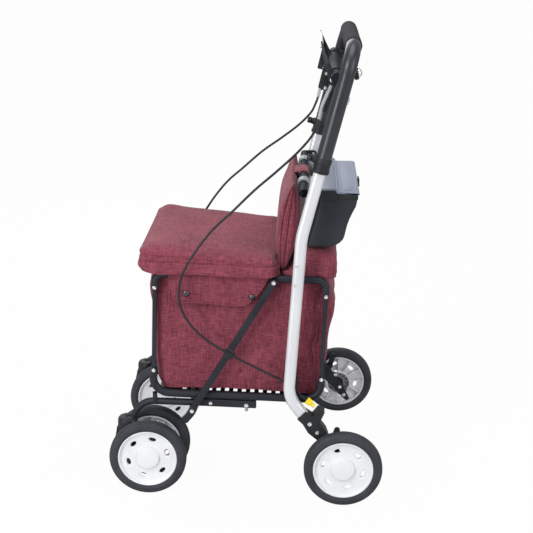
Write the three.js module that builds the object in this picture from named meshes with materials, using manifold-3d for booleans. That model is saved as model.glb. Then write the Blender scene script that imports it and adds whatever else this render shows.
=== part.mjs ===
// A shopping rollator: two bent uprights with an adjustable push handle, a folding seat frame that
// holds a shopping bag, a grille tray on two twin-wheeled casters, and a lidded box behind the backrest.
// Millimetres, +Z up. The front is -Y, the walking user stands at +Y, and +X is the user's left.
// Fore-and-aft places (names ending in Y) are measured from the rear axle, heights (Z) from the floor.
import * as THREE from "three";
import { mergeVertices } from "three/addons/utils/BufferGeometryUtils.js";
import Module from "manifold-3d";

const wasm = await Module();
wasm.setup();

// Clearances
const touchGap = 0.4;
const runningGap = 0.3;
const overrun = 5;
const shoulder = 1;

// Wheels
const wheelRadius = 82;
const tyreWidth = 27;
const rimRadius = 62.6;
const rimWidth = 24;
const rimWall = 3.2;
const dishThickness = 3;
const dishInset = 4;
const hubRadius = 12;
const capRadius = 25;
const capRise = 3;
const rimHoleLong = 6.5;
const rimHoleShort = 3.6;
const rimHoleCircle = 43;
const rimHoles = 6;
const wheelSegments = 20;
const tyreEdge = 2;
const axleRadius = 5;
const rearWheelX = 235.1;
const drumRadius = 30;
const drumWall = 4;
const drumReach = 9.5;

// Uprights: flat-sided tube, bent at the knee and at the heel
const uprightX = 197.5;
const uprightWidth = 24;
const uprightCorner = 8;
const uprightWall = 2;
const uprightKneeY = -90.9;
const uprightKneeZ = 569.6;
const uprightHeelY = -115.2;
const uprightHeelZ = 226;
const uprightFootY = -74.8;
const uprightFootZ = 173.1;
const kneeBend = 160;
const heelBend = 70;
const handleLean = THREE.MathUtils.degToRad(14.5);
const leanY = (z) => uprightKneeY + (z - uprightKneeZ) * Math.tan(handleLean);

// Push handle: places up its legs are shares of its rise above the knees
const handleTopZ = 960;
const uprightTopShare = 0.5902;
const legFootShare = 0.3494;
const bellShare = 0.7029;
const carrierShare = 0.8079;
const boxBarShare = 0.2264;
const upLeg = (share) => uprightKneeZ + (handleTopZ - uprightKneeZ) * share;
const uprightTopZ = upLeg(uprightTopShare);
const legFootZ = upLeg(legFootShare);
const boxBarZ = upLeg(boxBarShare);
const legRadius = 15.3;
const legWall = 1.2;
const handleBend = 50;
const handleSides = 12;
const gripRadius = 17.6;
const gripHalfLength = 133;
const collarRadius = 17.8;
const collarHeight = 30;
const collarDrop = 2.6;
const collarZ = legFootZ - collarDrop;
const knobRadius = 7;
const knobReach = 9;
const knobWidth = 16;
const knobRise = 24;
const carrierRadius = 12.6;
const carrierSetback = 15.67;
const carrierZ = upLeg(carrierShare);
const carrierY = leanY(carrierZ) - carrierSetback;
const bellRadius = 20;
const bellHeight = 15;
const bellZ = upLeg(bellShare);
const bellLeverLength = 26;
const bellLeverThickness = 4;

// Brake bar above the handle's middle, and the two brackets that hold it
const brakePivotX = 128;
const brakePivotAhead = 12.5;
const brakePivotRise = 3;
const brakePivotY = carrierY - brakePivotAhead;
const brakePivotZ = carrierZ + brakePivotRise;
const brakeBarHalf = 90;
const brakeBarAhead = 30;
const brakeBarRise = 56;
const brakeBarY = carrierY - brakeBarAhead;
const brakeBarZ = carrierZ + brakeBarRise;
const brakeBarRadius = 3.2;
const brakeEyeRadius = 8;
const brakeEyeWidth = 5;
const bracketPlate = 6;
const bracketTopAhead = 15;
const bracketFootAhead = 30;
const bracketFootDrop = 69;
const bracketTopY = carrierY - bracketTopAhead;
const bracketFootY = carrierY - bracketFootAhead;
const bracketFootZ = carrierZ - bracketFootDrop;
const bracketDepth = 22;
const stopAside = 6;
const stopSetback = 0.2;
const stopDrop = 0.8;

// Seat frame: an inverted U on each side, joined by two cross bars
const frameX = 163;
const frameRadius = 7.5;
const frontPinY = -391.8;
const frontPinZ = 452.2;
const rearPinY = -39.8;
const rearPinZ = 435.9;
const frontCornerZ = 480.6;
const rearCornerZ = 469.4;
const frameBend = 19;
const crossBarRadius = 6;
const frontBarDrop = 10;
const rearBarDrop = 7;
const seatPivotY = -102;
const seatPivotZ = 472.7;
const pivotBossRadius = 8;

// Links between the seat frame and the tray, and their fork ends
const linkRise = 183.35;
const linkRake = 7.15;
const linkWidth = 9;
const pinEarRadius = 6.5;
const earWall = 2.1;

// Tray, rails, channels and front legs
const railRadius = 8.3;
const railFrontY = -409;
const railFrontZ = 217.2;
const railRearY = -50;
const railRearZ = 205;
const railFrontBend = 34;
const railRearBend = 34;
const hingePlateThickness = 5;
const hingePlateHalf = 12;
const trayThickness = 8;
const trayPitch = 18;
const trayHole = 9;
const trayMargin = 16;
const channelFrontY = -304;
const channelRearY = -183.7;
const channelHeight = 16;
const channelWidth = 13;
const legTubeRadius = 7.5;
const legTubeZ = 194.3;
const legBend = 44;
const stemY = -460;
const legKneeAft = 32;
const legStartAft = 8;
const legKneeY = stemY + legKneeAft;
const legStartY = stemY + legStartAft;
const postY = -398.4;
const postRadius = 5;

// Casters
const stemX = 156;
const casterTrail = 47.2;
const casterAxleY = stemY + casterTrail;
const twinHalf = 40;
const housingRadius = 21;
const housingFootZ = 113;
const housingTopZ = 158;
const housingCrown = 4.7;
const housingNose = 23;
const noseHalf = 9;
const noseHeight = 22;
const forkHalf = 20;
const forkFlange = 6;

// Struts with a cable clip
const strutThickness = 7;
const strutWidth = 14;
const strutTopY = -146.7;
const strutTopZ = 469.7;
const strutStudY = -318.6;
const strutStudZ = 183;
const strutFootY = -331.8;
const strutFootZ = 162;
const clipY = -238.8;
const clipZ = 314.4;
const clipRadius = 13;
const clipProud = 1.4;
const studRadius = 6.5;

// Rear brackets, brake arms and cable adjusters
const bracketInnerX = 183;
const bracketOuterX = 212.4;
const armPlateX = 203.5;
const armPlateThickness = 7;
const adjusterRadius = 6.4;
const adjusterLength = 21;
const brakeArmThickness = 6;
const brakePinY = -22;
const brakePinZ = 130;
const brakeArmRadius = 7;
const shoeAngle = THREE.MathUtils.degToRad(135);
const shoeGap = 1.4;
const shoeRadius = 6;
const cableEndRise = 26;
const cableEndSide = 9;

// Seat lid, seat cushion, bag and backrest
const lidHalfWidth = 170;
const lidThickness = 6;
const cushionHalfWidth = 184;
const cushionFrontY = -417;
const cushionRearY = -149;
const cushionThickness = 48;
const cushionCrown = 7;
const cushionDraw = 8;
const bagHalfWidth = 150;
const bagFrontY = -383;
const bagRearY = -31;
const bagTopZ = 449;
const bagWall = 3;
const bagCorner = 22;
const bagDraw = 6;
const coverHalfWidth = 150;
const coverFrontY = -97;
const coverRearY = -24;
const coverThickness = 15;
const backrestHalfWidth = 160;
const backrestFootZ = 489;
const backrestAboveBar = 7;
const backrestTopZ = boxBarZ + backrestAboveBar;
const backrestFootY = -127;
const backrestTopY = -120;
const backrestThickness = 36;
const backrestCrown = 5;
const sleeveHalf = 80;
const sleeveWall = 3;

// Cross bar and the box that hangs on it
const boxBarRadius = 8.5;
const boxBarY = -88;
const boxBarLug = 4;
const boxHalfWidth = 145;
const boxWall = 3;
const boxHangDrop = 18;
const boxTopZ = boxBarZ - boxHangDrop;
const boxTopFrontY = -55;
const boxTopRearY = 21;
const boxBellyY = -3;
const boxFootRearY = -24.6;
const boxFootZ = 534;
const boxBellyShare = 0.3585;
const boxBellyZ = boxFootZ + (boxTopZ - boxFootZ) * boxBellyShare;
const boxFootFrontY = -79;
const lidFrontY = -55;
const lidRearY = 24;
const boxLidSkin = 3.5;
const boxLidZ = boxTopZ + boxLidSkin;
const lidCrownRise = 18.6;
const lidCrownZ = boxTopZ + lidCrownRise;
const lidStepY = -20;
const lidStepDrop = 7.6;
const hookX = 100;
const hookHalf = 13;
const hookWall = 4;
const latchWidth = 26;
const latchHeight = 18;
const latchThickness = 4;

// Brake cable, and its route from the handle to the adjuster: a hand-laid list
const cableDiameter = 5;
const cableSides = 8;
const cableSteps = 38;
const cableRoute = [
  [134, -54.8, 815.2], [134.2, -59, 797], [134.8, -66, 778], [138, -76, 759], [148, -103, 730],
  [165, -142, 697], [182, -184.8, 663], [194, -228.3, 622.3], [199, -261.9, 591.9],
  [201, -289.8, 558.8], [201, -314.9, 521.7], [200, -331.2, 488.9], [198, -338.2, 458.7],
  [196, -337.7, 428.4], [194, -327.5, 398.1], [192, -306.3, 367.5], [190, -281.5, 345],
  [188.4, -254, 325.2], [187.6, -222.1, 306.1], [184.8, -176.7, 281.1], [180.6, -136, 258.5],
  [180, -112, 241.5], [183.5, -92, 226], [187.2, -77.1, 214.6],
];

// Colours
const paint = (color, roughness, metalness) =>
  new THREE.MeshStandardMaterial({ color, roughness, metalness, flatShading: true });
const silver = paint(0xd4d6d9, 0.35, 0.7);
const blackTube = paint(0x1d1e21, 0.4, 0.4);
const blackPlastic = paint(0x1f2023, 0.55, 0);
const foam = paint(0x2b2b2f, 0.9, 0);
const burgundy = paint(0x7d3346, 0.95, 0);
const rimWhite = paint(0xe2e4e8, 0.4, 0.1);
const tyreBlack = paint(0x26272a, 0.85, 0);
const boxGrey = paint(0x3b3e44, 0.6, 0);
const lidGrey = paint(0x868b92, 0.55, 0);
const chrome = paint(0xe6e6e6, 0.15, 1);

// Solids: a closed three.js geometry becomes a solid that can be joined and cut
function solid(geometry) {
  const bare = geometry.clone();
  bare.deleteAttribute("normal");
  bare.deleteAttribute("uv");
  const merged = mergeVertices(bare, 1e-4);
  const made = new wasm.Mesh({
    numProp: 3,
    vertProperties: new Float32Array(merged.attributes.position.array),
    triVerts: new Uint32Array(merged.index.array),
  });
  return new wasm.Manifold(made);
}

function join(first, ...others) {
  return others.reduce((whole, next) => whole.add(next), first);
}

function cut(first, ...others) {
  return others.reduce((whole, next) => whole.subtract(next), first);
}

function geometryOf(shape) {
  const { vertProperties, triVerts } = shape.getMesh();
  const geometry = new THREE.BufferGeometry();
  geometry.setAttribute("position", new THREE.BufferAttribute(new Float32Array(vertProperties), 3));
  geometry.setIndex(new THREE.BufferAttribute(new Uint32Array(triVerts), 1));
  geometry.computeVertexNormals();
  return geometry;
}

function piece(name, shape, material) {
  const mesh = new THREE.Mesh(geometryOf(shape), material);
  mesh.name = name;
  return mesh;
}

// A path of straight runs joined by round bends
class BentPath extends THREE.Curve {
  constructor(corners, bends, bendSteps = 4) {
    super();
    this.stations = [corners[0]];
    for (let i = 1; i < corners.length - 1; i += 1) {
      this.addBend(corners[i - 1], corners[i], corners[i + 1], bends[i - 1], bendSteps);
    }
    this.stations.push(corners[corners.length - 1]);
  }

  addBend(before, corner, after, radius, bendSteps) {
    const back = before.clone().sub(corner).normalize();
    const ahead = after.clone().sub(corner).normalize();
    const half = back.angleTo(ahead) / 2;
    const reach = radius / Math.tan(half);
    const middle = back.clone().add(ahead).normalize().multiplyScalar(radius / Math.sin(half));
    const centre = corner.clone().add(middle);
    const start = corner.clone().addScaledVector(back, reach).sub(centre);
    const end = corner.clone().addScaledVector(ahead, reach).sub(centre);
    const axis = start.clone().cross(end).normalize();
    const turn = start.angleTo(end);
    for (let k = 0; k <= bendSteps; k += 1) {
      const spoke = start.clone().applyAxisAngle(axis, (turn * k) / bendSteps);
      this.stations.push(centre.clone().add(spoke));
    }
  }

  getPoint(t) {
    const last = this.stations.length - 1;
    const place = THREE.MathUtils.clamp(t, 0, 1) * last;
    const i = Math.min(Math.floor(place + 1e-9), last - 1);
    return this.stations[i].clone().lerp(this.stations[i + 1], place - i);
  }

  getPointAt(u) {
    return this.getPoint(u);
  }

  getTangentAt(u) {
    const last = this.stations.length - 1;
    const i = Math.round(u * last);
    const before = this.stations[Math.max(i - 1, 0)];
    const after = this.stations[Math.min(i + 1, last)];
    const here = this.stations[i];
    const arriving = here.clone().sub(before).normalize();
    const leaving = after.clone().sub(here).normalize();
    return arriving.add(leaving).normalize();
  }

  get steps() {
    return this.stations.length - 1;
  }
}

function sweep(section, path) {
  const geometry = new THREE.ExtrudeGeometry(section, {
    steps: path.steps, extrudePath: path, bevelEnabled: false, curveSegments: 3,
  });
  return solid(geometry);
}

function roundSection(radius, sides) {
  const points = [];
  for (let i = 0; i < sides; i += 1) {
    const angle = (2 * Math.PI * (i + 0.5)) / sides;
    points.push(new THREE.Vector2(radius * Math.cos(angle), radius * Math.sin(angle)));
  }
  return new THREE.Shape(points);
}

const place = (x, y, z) => new THREE.Vector3(x, y, z);

function tube(corners, bends, radius, sides = 8, bendSteps = 3) {
  return sweep(roundSection(radius, sides), new BentPath(corners, bends, bendSteps));
}

// A flat plate whose outline is drawn fore and aft and up, between two places across the width
const sideways = new THREE.Matrix4().makeBasis(place(0, 1, 0), place(0, 0, 1), place(1, 0, 0));

function plate(shape, fromX, toX, curveSegments = 4) {
  const geometry = new THREE.ExtrudeGeometry(shape, {
    depth: toX - fromX, bevelEnabled: false, curveSegments,
  });
  geometry.applyMatrix4(sideways);
  geometry.translate(fromX, 0, 0);
  return solid(geometry);
}

function outline(points) {
  return new THREE.Shape(points.map(([y, z]) => new THREE.Vector2(y, z)));
}

// A bar with round ends, drawn in the same plane
function capsule(fromY, fromZ, toY, toZ, radius) {
  const along = Math.atan2(toZ - fromZ, toY - fromY);
  const shape = new THREE.Shape();
  shape.absarc(toY, toZ, radius, along - Math.PI / 2, along + Math.PI / 2, false);
  shape.absarc(fromY, fromZ, radius, along + Math.PI / 2, along + Math.PI * 1.5, false);
  return shape;
}

function crossPin(fromX, toX, y, z, radius, sides = 10) {
  const geometry = new THREE.CylinderGeometry(radius, radius, toX - fromX, sides);
  geometry.rotateZ(-Math.PI / 2);
  geometry.translate((fromX + toX) / 2, y, z);
  return solid(geometry);
}

function post(x, y, fromZ, toZ, radius, sides = 10) {
  const geometry = new THREE.CylinderGeometry(radius, radius, toZ - fromZ, sides);
  geometry.rotateX(Math.PI / 2);
  geometry.translate(x, y, (fromZ + toZ) / 2);
  return solid(geometry);
}

function block(fromX, toX, fromY, toY, fromZ, toZ) {
  const geometry = new THREE.BoxGeometry(toX - fromX, toY - fromY, toZ - fromZ);
  geometry.translate((fromX + toX) / 2, (fromY + toY) / 2, (fromZ + toZ) / 2);
  return solid(geometry);
}

// A rod between two places
function rod(from, to, radius, sides = 10) {
  const way = to.clone().sub(from);
  const geometry = new THREE.CylinderGeometry(radius, radius, way.length(), sides);
  const turn = new THREE.Quaternion().setFromUnitVectors(place(0, 1, 0), way.clone().normalize());
  geometry.applyQuaternion(turn);
  const middle = from.clone().add(to).multiplyScalar(1 / 2);
  geometry.translate(middle.x, middle.y, middle.z);
  return solid(geometry);
}

// A turned shape: its profile gives radius and place along the wheel's axis
function turned(profile, segments) {
  const points = profile.map(([radius, along]) => new THREE.Vector2(radius, along));
  const geometry = new THREE.LatheGeometry(points, segments);
  geometry.rotateZ(-Math.PI / 2);
  return solid(geometry);
}

// Places that several pieces share
const linkEnd = (pinY, pinZ) => [pinY - linkRake, pinZ - linkRise];
const [frontBoltY, frontBoltZ] = linkEnd(frontPinY, frontPinZ);
const [rearBoltY, rearBoltZ] = linkEnd(rearPinY, rearPinZ);
const [basePivotY, basePivotZ] = linkEnd(seatPivotY, seatPivotZ);
const seatSlope = (frontCornerZ - rearCornerZ) / (frontPinY - rearPinY);
const frameZ = (y) => rearCornerZ + (y - rearPinY) * seatSlope;
const railSlope = (railFrontZ - railRearZ) / (railFrontY - railRearY);
const railZ = (y) => railRearZ + (y - railRearY) * railSlope;
const tiltAbout = (shape, slope, y, z) => {
  const angle = (Math.atan(slope) * 180) / Math.PI;
  return shape.translate([0, -y, -z]).rotate([angle, 0, 0]).translate([0, y, z]);
};
const uprightInner = uprightX - uprightWidth / 2;
const railInner = frameX - railRadius;
const railOuter = frameX + railRadius;
const strutInner = frameX + railRadius + hingePlateThickness;
const strutOuter = strutInner + strutThickness;

// Wheels, built about their own centre with the outer face towards +X
function rimShape(hasDrum) {
  const face = rimWidth / 2;
  const dish = face - dishInset;
  const wellRadius = rimRadius - rimWall;
  const dishMiddle = dish - dishInset;
  const boreRadius = axleRadius + runningGap;
  const capFace = dish + capRise;
  const boreEnd = dish - dishThickness;
  let rim = turned([
    [0, boreEnd], [boreRadius, boreEnd], [boreRadius, -face], [hubRadius, -face],
    [hubRadius, dishMiddle - dishThickness], [wellRadius, dishMiddle - dishThickness],
    [wellRadius, -face], [rimRadius, -face], [rimRadius, face], [wellRadius, face],
    [wellRadius, dishMiddle], [capRadius, dishMiddle], [capRadius, dish],
    [capRadius - capRise, capFace], [0, capFace],
  ], wheelSegments);
  const holes = [];
  for (let i = 0; i < rimHoles; i += 1) {
    const angle = (2 * Math.PI * (i + 0.5)) / rimHoles;
    const y = rimHoleCircle * Math.cos(angle);
    const z = rimHoleCircle * Math.sin(angle);
    const hole = new THREE.Shape();
    hole.absellipse(y, z, rimHoleLong, rimHoleShort, 0, 2 * Math.PI, false, angle + Math.PI / 2);
    holes.push(plate(hole, -face, face, 3));
  }
  rim = cut(rim, ...holes);
  if (hasDrum) {
    const drumInner = drumRadius - drumWall;
    const drumEnd = -face - drumReach;
    const ring = turned([
      [drumInner, drumEnd], [drumRadius, drumEnd], [drumRadius, dishMiddle - dishThickness / 2],
      [drumInner, dishMiddle - dishThickness / 2], [drumInner, drumEnd],
    ], wheelSegments);
    rim = join(rim, ring);
  }
  return rim;
}

function tyreShape() {
  const inner = rimRadius + runningGap;
  const half = tyreWidth / 2;
  const shoulder = wheelRadius - (wheelRadius - inner) / 3;
  const tread = half / 3;
  return turned([
    [inner, half - tyreEdge], [inner, tyreEdge - half], [inner + overrun, -half],
    [shoulder, -half], [wheelRadius, -tread], [wheelRadius, tread], [shoulder, half],
    [inner + overrun, half], [inner, half - tyreEdge],
  ], wheelSegments);
}

function wheel(name, x, y, hasDrum, outward) {
  const group = new THREE.Group();
  group.position.set(x, y, wheelRadius);
  group.scale.x = outward;
  group.add(piece(`${name}_rim`, rimShape(hasDrum), rimWhite));
  group.add(piece(`${name}_tyre`, tyreShape(), tyreBlack));
  return group;
}

// An upright, open at its top end
function uprightShape() {
  const half = uprightWidth / 2;
  const flat = half - uprightCorner;
  const corners = [[1, 1], [-1, 1], [-1, -1], [1, -1]];
  const points = corners.flatMap(([x, y], quarter) => [0, 1, 2, 3].map((k) => {
    const angle = ((quarter + k / 3) * Math.PI) / 2;
    return new THREE.Vector2(
      x * flat + uprightCorner * Math.cos(angle), y * flat + uprightCorner * Math.sin(angle),
    );
  }));
  const section = new THREE.Shape(points);
  const path = new BentPath([
    place(uprightX, leanY(uprightTopZ), uprightTopZ),
    place(uprightX, uprightKneeY, uprightKneeZ),
    place(uprightX, uprightHeelY, uprightHeelZ),
    place(uprightX, uprightFootY, uprightFootZ),
  ], [kneeBend, heelBend], 5);
  const top = place(uprightX, leanY(uprightTopZ + overrun), uprightTopZ + overrun);
  const depth = place(uprightX, leanY(uprightTopZ - uprightWidth), uprightTopZ - uprightWidth);
  return cut(sweep(section, path), rod(top, depth, half - uprightWall));
}

// Rear bracket: a socket round the upright's foot, an arm to the stub axle, and the cable adjuster.
// The socket's corners and the arm's upper ones are shares of the upright's width from its foot,
// and the arm's lower corners are shares of the wheel's radius from the axle.
const socketShares = [
  [-0.43, -0.14], [0.05, -0.98], [0.73, -1.55], [1.7, -2.55], [1.87, -1.46], [1.62, -0.77],
  [1.06, 0], [1.49, 0.99], [0.9, 1.2], [0.4, 0.55], [-0.24, 1], [-0.9, 0.31],
];
const armTopShares = [[1.87, -1.46], [0.53, -0.96]];
const armFootShares = [
  [-0.49, 0.29], [-0.16, -0.06], [-0.06, -0.2], [0.24, -0.49], [0.33, -0.43], [0.1, 0.06], [-0.07, 0.27],
];
const bracketBoltShares = [[0.19, -0.09], [0.87, -0.92]];
const fromFoot = ([y, z]) => [uprightFootY + y * uprightWidth, uprightFootZ + z * uprightWidth];
const fromAxle = ([y, z]) => [y * wheelRadius, wheelRadius + z * wheelRadius];

function rearBracketShape() {
  const socket = plate(outline(socketShares.map(fromFoot)), bracketInnerX, bracketOuterX);
  const footWay = place(0, uprightFootY - uprightHeelY, uprightFootZ - uprightHeelZ).normalize();
  const foot = place(uprightX, uprightFootY, uprightFootZ).addScaledVector(footWay, touchGap);
  const pocketHalf = uprightWidth / 2 + touchGap;
  const pocketSection = outline([
    [-pocketHalf, -pocketHalf], [pocketHalf, -pocketHalf], [pocketHalf, pocketHalf],
    [-pocketHalf, pocketHalf],
  ]);
  const pocketTop = foot.clone().addScaledVector(footWay, -uprightWidth * 3);
  const pocket = sweep(pocketSection, new BentPath([foot, pocketTop], []));
  const arm = plate(
    outline([...armTopShares.map(fromFoot), ...armFootShares.map(fromAxle)]),
    armPlateX - armPlateThickness, armPlateX,
  );
  const axleEnd = rearWheelX + rimWidth / 2 - dishInset - dishThickness - runningGap;
  const axle = crossPin(armPlateX - overrun, axleEnd, 0, wheelRadius, axleRadius);
  const flangeEnd = rearWheelX - rimWidth / 2 - runningGap;
  const flange = crossPin(armPlateX - overrun, flangeEnd, 0, wheelRadius, hubRadius);
  const pinEnd = armPlateX + touchGap + brakeArmThickness + armPlateThickness / 2;
  const brakePin = crossPin(armPlateX - overrun, pinEnd, brakePinY, brakePinZ, axleRadius - touchGap);
  const end = place(...cableRoute[cableRoute.length - 1]);
  const before = place(...cableRoute[cableRoute.length - 2]);
  const way = end.clone().sub(before).normalize();
  const mouth = end.clone().addScaledVector(way, touchGap);
  const seat = mouth.clone().addScaledVector(way, adjusterLength + overrun);
  const adjuster = rod(mouth, seat, adjusterRadius);
  const bolts = bracketBoltShares.map(fromFoot).map(([y, z]) =>
    crossPin(bracketOuterX - overrun, bracketOuterX + overrun / 2, y, z, axleRadius - runningGap, 8));
  return cut(join(socket, arm, axle, flange, brakePin, adjuster, ...bolts), pocket);
}

// Brake arm: the cable pulls its upper end forwards, and its shoe swings back onto the drum
function brakeArmShape() {
  const shoeReach = drumRadius + shoeGap + shoeRadius;
  const shoeY = shoeReach * Math.cos(shoeAngle);
  const shoeZ = wheelRadius + shoeReach * Math.sin(shoeAngle);
  const from = armPlateX + touchGap;
  const to = from + brakeArmThickness;
  const upper = plate(capsule(
    brakePinY, brakePinZ, brakePinY + cableEndSide, brakePinZ + cableEndRise, brakeArmRadius - shoulder,
  ), from, to);
  const eye = crossPin(from, to, brakePinY, brakePinZ, brakeArmRadius + shoulder);
  const lower = plate(capsule(brakePinY, brakePinZ, shoeY, shoeZ, shoeRadius - shoulder), from, to);
  const shoe = crossPin(from, rearWheelX - rimWidth / 2 - touchGap, shoeY, shoeZ, shoeRadius);
  const bore = crossPin(from - overrun, to + overrun, brakePinY, brakePinZ, axleRadius);
  return cut(join(upper, eye, lower, shoe), bore);
}

// Push handle: one bent tube whose legs slide over the uprights
const handleZ = handleTopZ - gripRadius;
const handleY = leanY(handleZ);

function handleShape(radius, wall) {
  const section = roundSection(radius, handleSides);
  if (wall) section.holes.push(roundSection(radius - wall, handleSides));
  return sweep(section, new BentPath([
    place(uprightX, leanY(legFootZ), legFootZ),
    place(uprightX, handleY, handleZ),
    place(-uprightX, handleY, handleZ),
    place(-uprightX, leanY(legFootZ), legFootZ),
  ], [handleBend, handleBend]));
}

function gripShape() {
  const section = roundSection(gripRadius, handleSides);
  section.holes.push(roundSection(legRadius / Math.cos(Math.PI / handleSides) + touchGap, handleSides));
  return sweep(section, new BentPath([
    place(gripHalfLength, handleY, handleZ), place(-gripHalfLength, handleY, handleZ),
  ], []));
}

// Collar at the foot of a leg, with a boss in front for the height knob's screw
function collarShape() {
  const foot = place(uprightX, leanY(collarZ), collarZ);
  const up = place(0, Math.sin(handleLean), Math.cos(handleLean));
  const top = foot.clone().addScaledVector(up, collarHeight);
  const bossBack = foot.clone().addScaledVector(up, knobRise);
  const forward = place(0, -Math.cos(handleLean), Math.sin(handleLean));
  const bossFront = bossBack.clone().addScaledVector(forward, collarRadius + overrun);
  const body = join(rod(foot, top, collarRadius, 16), rod(bossBack, bossFront, knobRadius));
  const low = foot.clone().addScaledVector(up, -overrun);
  const high = top.clone().addScaledVector(up, overrun);
  return cut(body, rod(low, high, legRadius + touchGap, 16));
}

function knobShape() {
  const up = place(0, Math.sin(handleLean), Math.cos(handleLean));
  const forward = place(0, -Math.cos(handleLean), Math.sin(handleLean));
  const seat = place(uprightX, leanY(collarZ), collarZ)
    .addScaledVector(up, knobRise)
    .addScaledVector(forward, collarRadius + overrun + touchGap);
  const end = seat.clone().addScaledVector(forward, knobReach);
  const wing = block(-knobWidth, knobWidth, -knobReach / 3, knobReach / 3, -knobRadius / 2, knobRadius / 2);
  const middle = seat.clone().add(end).multiplyScalar(1 / 2);
  const leaned = wing.rotate([(-handleLean * 180) / Math.PI, 0, 0])
    .translate([middle.x, middle.y, middle.z]);
  return join(rod(seat, end, knobRadius), leaned);
}

// Carrier tube between the legs
function carrierShape() {
  const reach = uprightX - overrun;
  const bar = crossPin(-reach, reach, carrierY, carrierZ, carrierRadius, 16);
  return cut(bar, handleShape(legRadius + touchGap, 0));
}

// Bell on the left leg, facing the user
const bellX = uprightX - legRadius - bellRadius / 2;

function bellShape() {
  const back = place(0, Math.cos(handleLean), -Math.sin(handleLean));
  const seat = place(uprightX, leanY(bellZ), bellZ);
  const start = seat.clone().addScaledVector(back, -overrun / 2);
  const end = seat.clone().addScaledVector(back, bellHeight);
  start.x = bellX;
  end.x = bellX;
  const dome = rod(start, end, bellRadius, 20);
  return cut(dome, handleShape(legRadius + touchGap, 0));
}

function bellLeverShape() {
  const back = place(0, Math.cos(handleLean), -Math.sin(handleLean));
  const seat = place(bellX, leanY(bellZ), bellZ).addScaledVector(back, bellHeight + touchGap);
  const face = seat.clone().addScaledVector(back, bellLeverThickness);
  const tip = seat.clone().add(place(-bellLeverLength, 0, 0)).addScaledVector(back, bellLeverThickness / 2);
  const root = seat.clone().addScaledVector(back, bellLeverThickness / 2);
  return join(rod(seat, face, knobRadius), rod(root, tip, bellLeverThickness / 2 - runningGap, 8));
}

// Brake bar: one bent rod across the handle, with an eye at each pivot
function brakeBarShape() {
  const eyes = [-1, 1].map((side) => {
    const from = side * brakePivotX - brakeEyeWidth / 2;
    return crossPin(from, from + brakeEyeWidth, brakePivotY - brakeEyeRadius, brakePivotZ, brakeEyeRadius);
  });
  const bar = tube([
    place(brakePivotX, brakePivotY - brakeEyeRadius, brakePivotZ),
    place(brakeBarHalf, brakeBarY, brakeBarZ),
    place(-brakeBarHalf, brakeBarY, brakeBarZ),
    place(-brakePivotX, brakePivotY - brakeEyeRadius, brakePivotZ),
  ], [brakeBarRadius * 3, brakeBarRadius * 3], brakeBarRadius);
  return join(bar, ...eyes);
}

function brakeBracketShape() {
  const from = brakePivotX + brakeEyeWidth / 2 + touchGap;
  const to = from + bracketPlate;
  const body = plate(outline([
    [brakePivotY - brakeEyeRadius * 2, brakePivotZ + brakeEyeRadius / 2],
    [brakePivotY - brakeEyeRadius * 2, brakePivotZ - brakeEyeRadius],
    [bracketFootY - overrun / 2, bracketFootZ], [bracketFootY + bracketDepth / 2, bracketFootZ],
    [bracketTopY + bracketDepth / 2, brakePivotZ - carrierRadius * 2],
    [carrierY, brakePivotZ - carrierRadius], [carrierY, brakePivotZ + carrierRadius],
  ]), from, to);
  const ring = crossPin(from, to, carrierY, carrierZ, carrierRadius + rimWall, 16);
  const bore = crossPin(from - overrun, to + overrun, carrierY, carrierZ, carrierRadius + touchGap, 16);
  const way = place(...cableRoute[0]).sub(place(...cableRoute[1])).normalize();
  const seat = place(brakePivotX + stopAside, bracketFootY + stopSetback, bracketFootZ - stopDrop);
  const mouth = seat.addScaledVector(way, touchGap);
  const stop = rod(mouth, mouth.clone().addScaledVector(way, adjusterLength), cableDiameter);
  return cut(join(body, ring, stop), bore);
}

// Seat frame
function forkEnd(pinY, pinZ, towardsZ) {
  const slotHalf = linkWidth / 2 + runningGap;
  const earHalf = slotHalf + earWall;
  const ear = plate(capsule(pinY, pinZ, pinY, towardsZ, pinEarRadius), frameX - earHalf, frameX + earHalf, 3);
  const reach = linkWidth / 2 + touchGap;
  const upward = Math.sign(towardsZ - pinZ);
  const low = Math.min(pinZ + upward * reach, pinZ - upward * pinEarRadius * 2);
  const high = Math.max(pinZ + upward * reach, pinZ - upward * pinEarRadius * 2);
  const reachY = pinEarRadius * 2;
  const slot = block(frameX - slotHalf, frameX + slotHalf, pinY - reachY, pinY + reachY, low, high);
  return [ear, slot];
}

function seatFrameShape() {
  const side = tube([
    place(frameX, frontPinY, frontPinZ + pinEarRadius),
    place(frameX, frontPinY, frontCornerZ),
    place(frameX, rearPinY, rearCornerZ),
    place(frameX, rearPinY, rearPinZ + pinEarRadius),
  ], [frameBend, frameBend], frameRadius, 10);
  const [frontEar, frontSlot] = forkEnd(frontPinY, frontPinZ, frontPinZ + pinEarRadius * 2);
  const [rearEar, rearSlot] = forkEnd(rearPinY, rearPinZ, rearPinZ + pinEarRadius * 2);
  const boss = crossPin(frameX, uprightInner - touchGap, seatPivotY, seatPivotZ, pivotBossRadius);
  const cheek = crossPin(frameX, strutInner - touchGap, strutTopY, strutTopZ, studRadius);
  const half = cut(join(side, frontEar, rearEar, boss, cheek), frontSlot, rearSlot);
  const frontBar = crossPin(-frameX, frameX, frontPinY, frontCornerZ - frontBarDrop, crossBarRadius);
  const rearBar = crossPin(-frameX, frameX, rearPinY - overrun, rearCornerZ - rearBarDrop, crossBarRadius);
  return join(half, half.mirror([1, 0, 0]), frontBar, rearBar);
}

function linkShape(pinY, pinZ) {
  const [boltY, boltZ] = linkEnd(pinY, pinZ);
  const half = linkWidth / 2;
  return plate(capsule(boltY, boltZ, pinY, pinZ, half), frameX - half, frameX + half);
}

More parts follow.
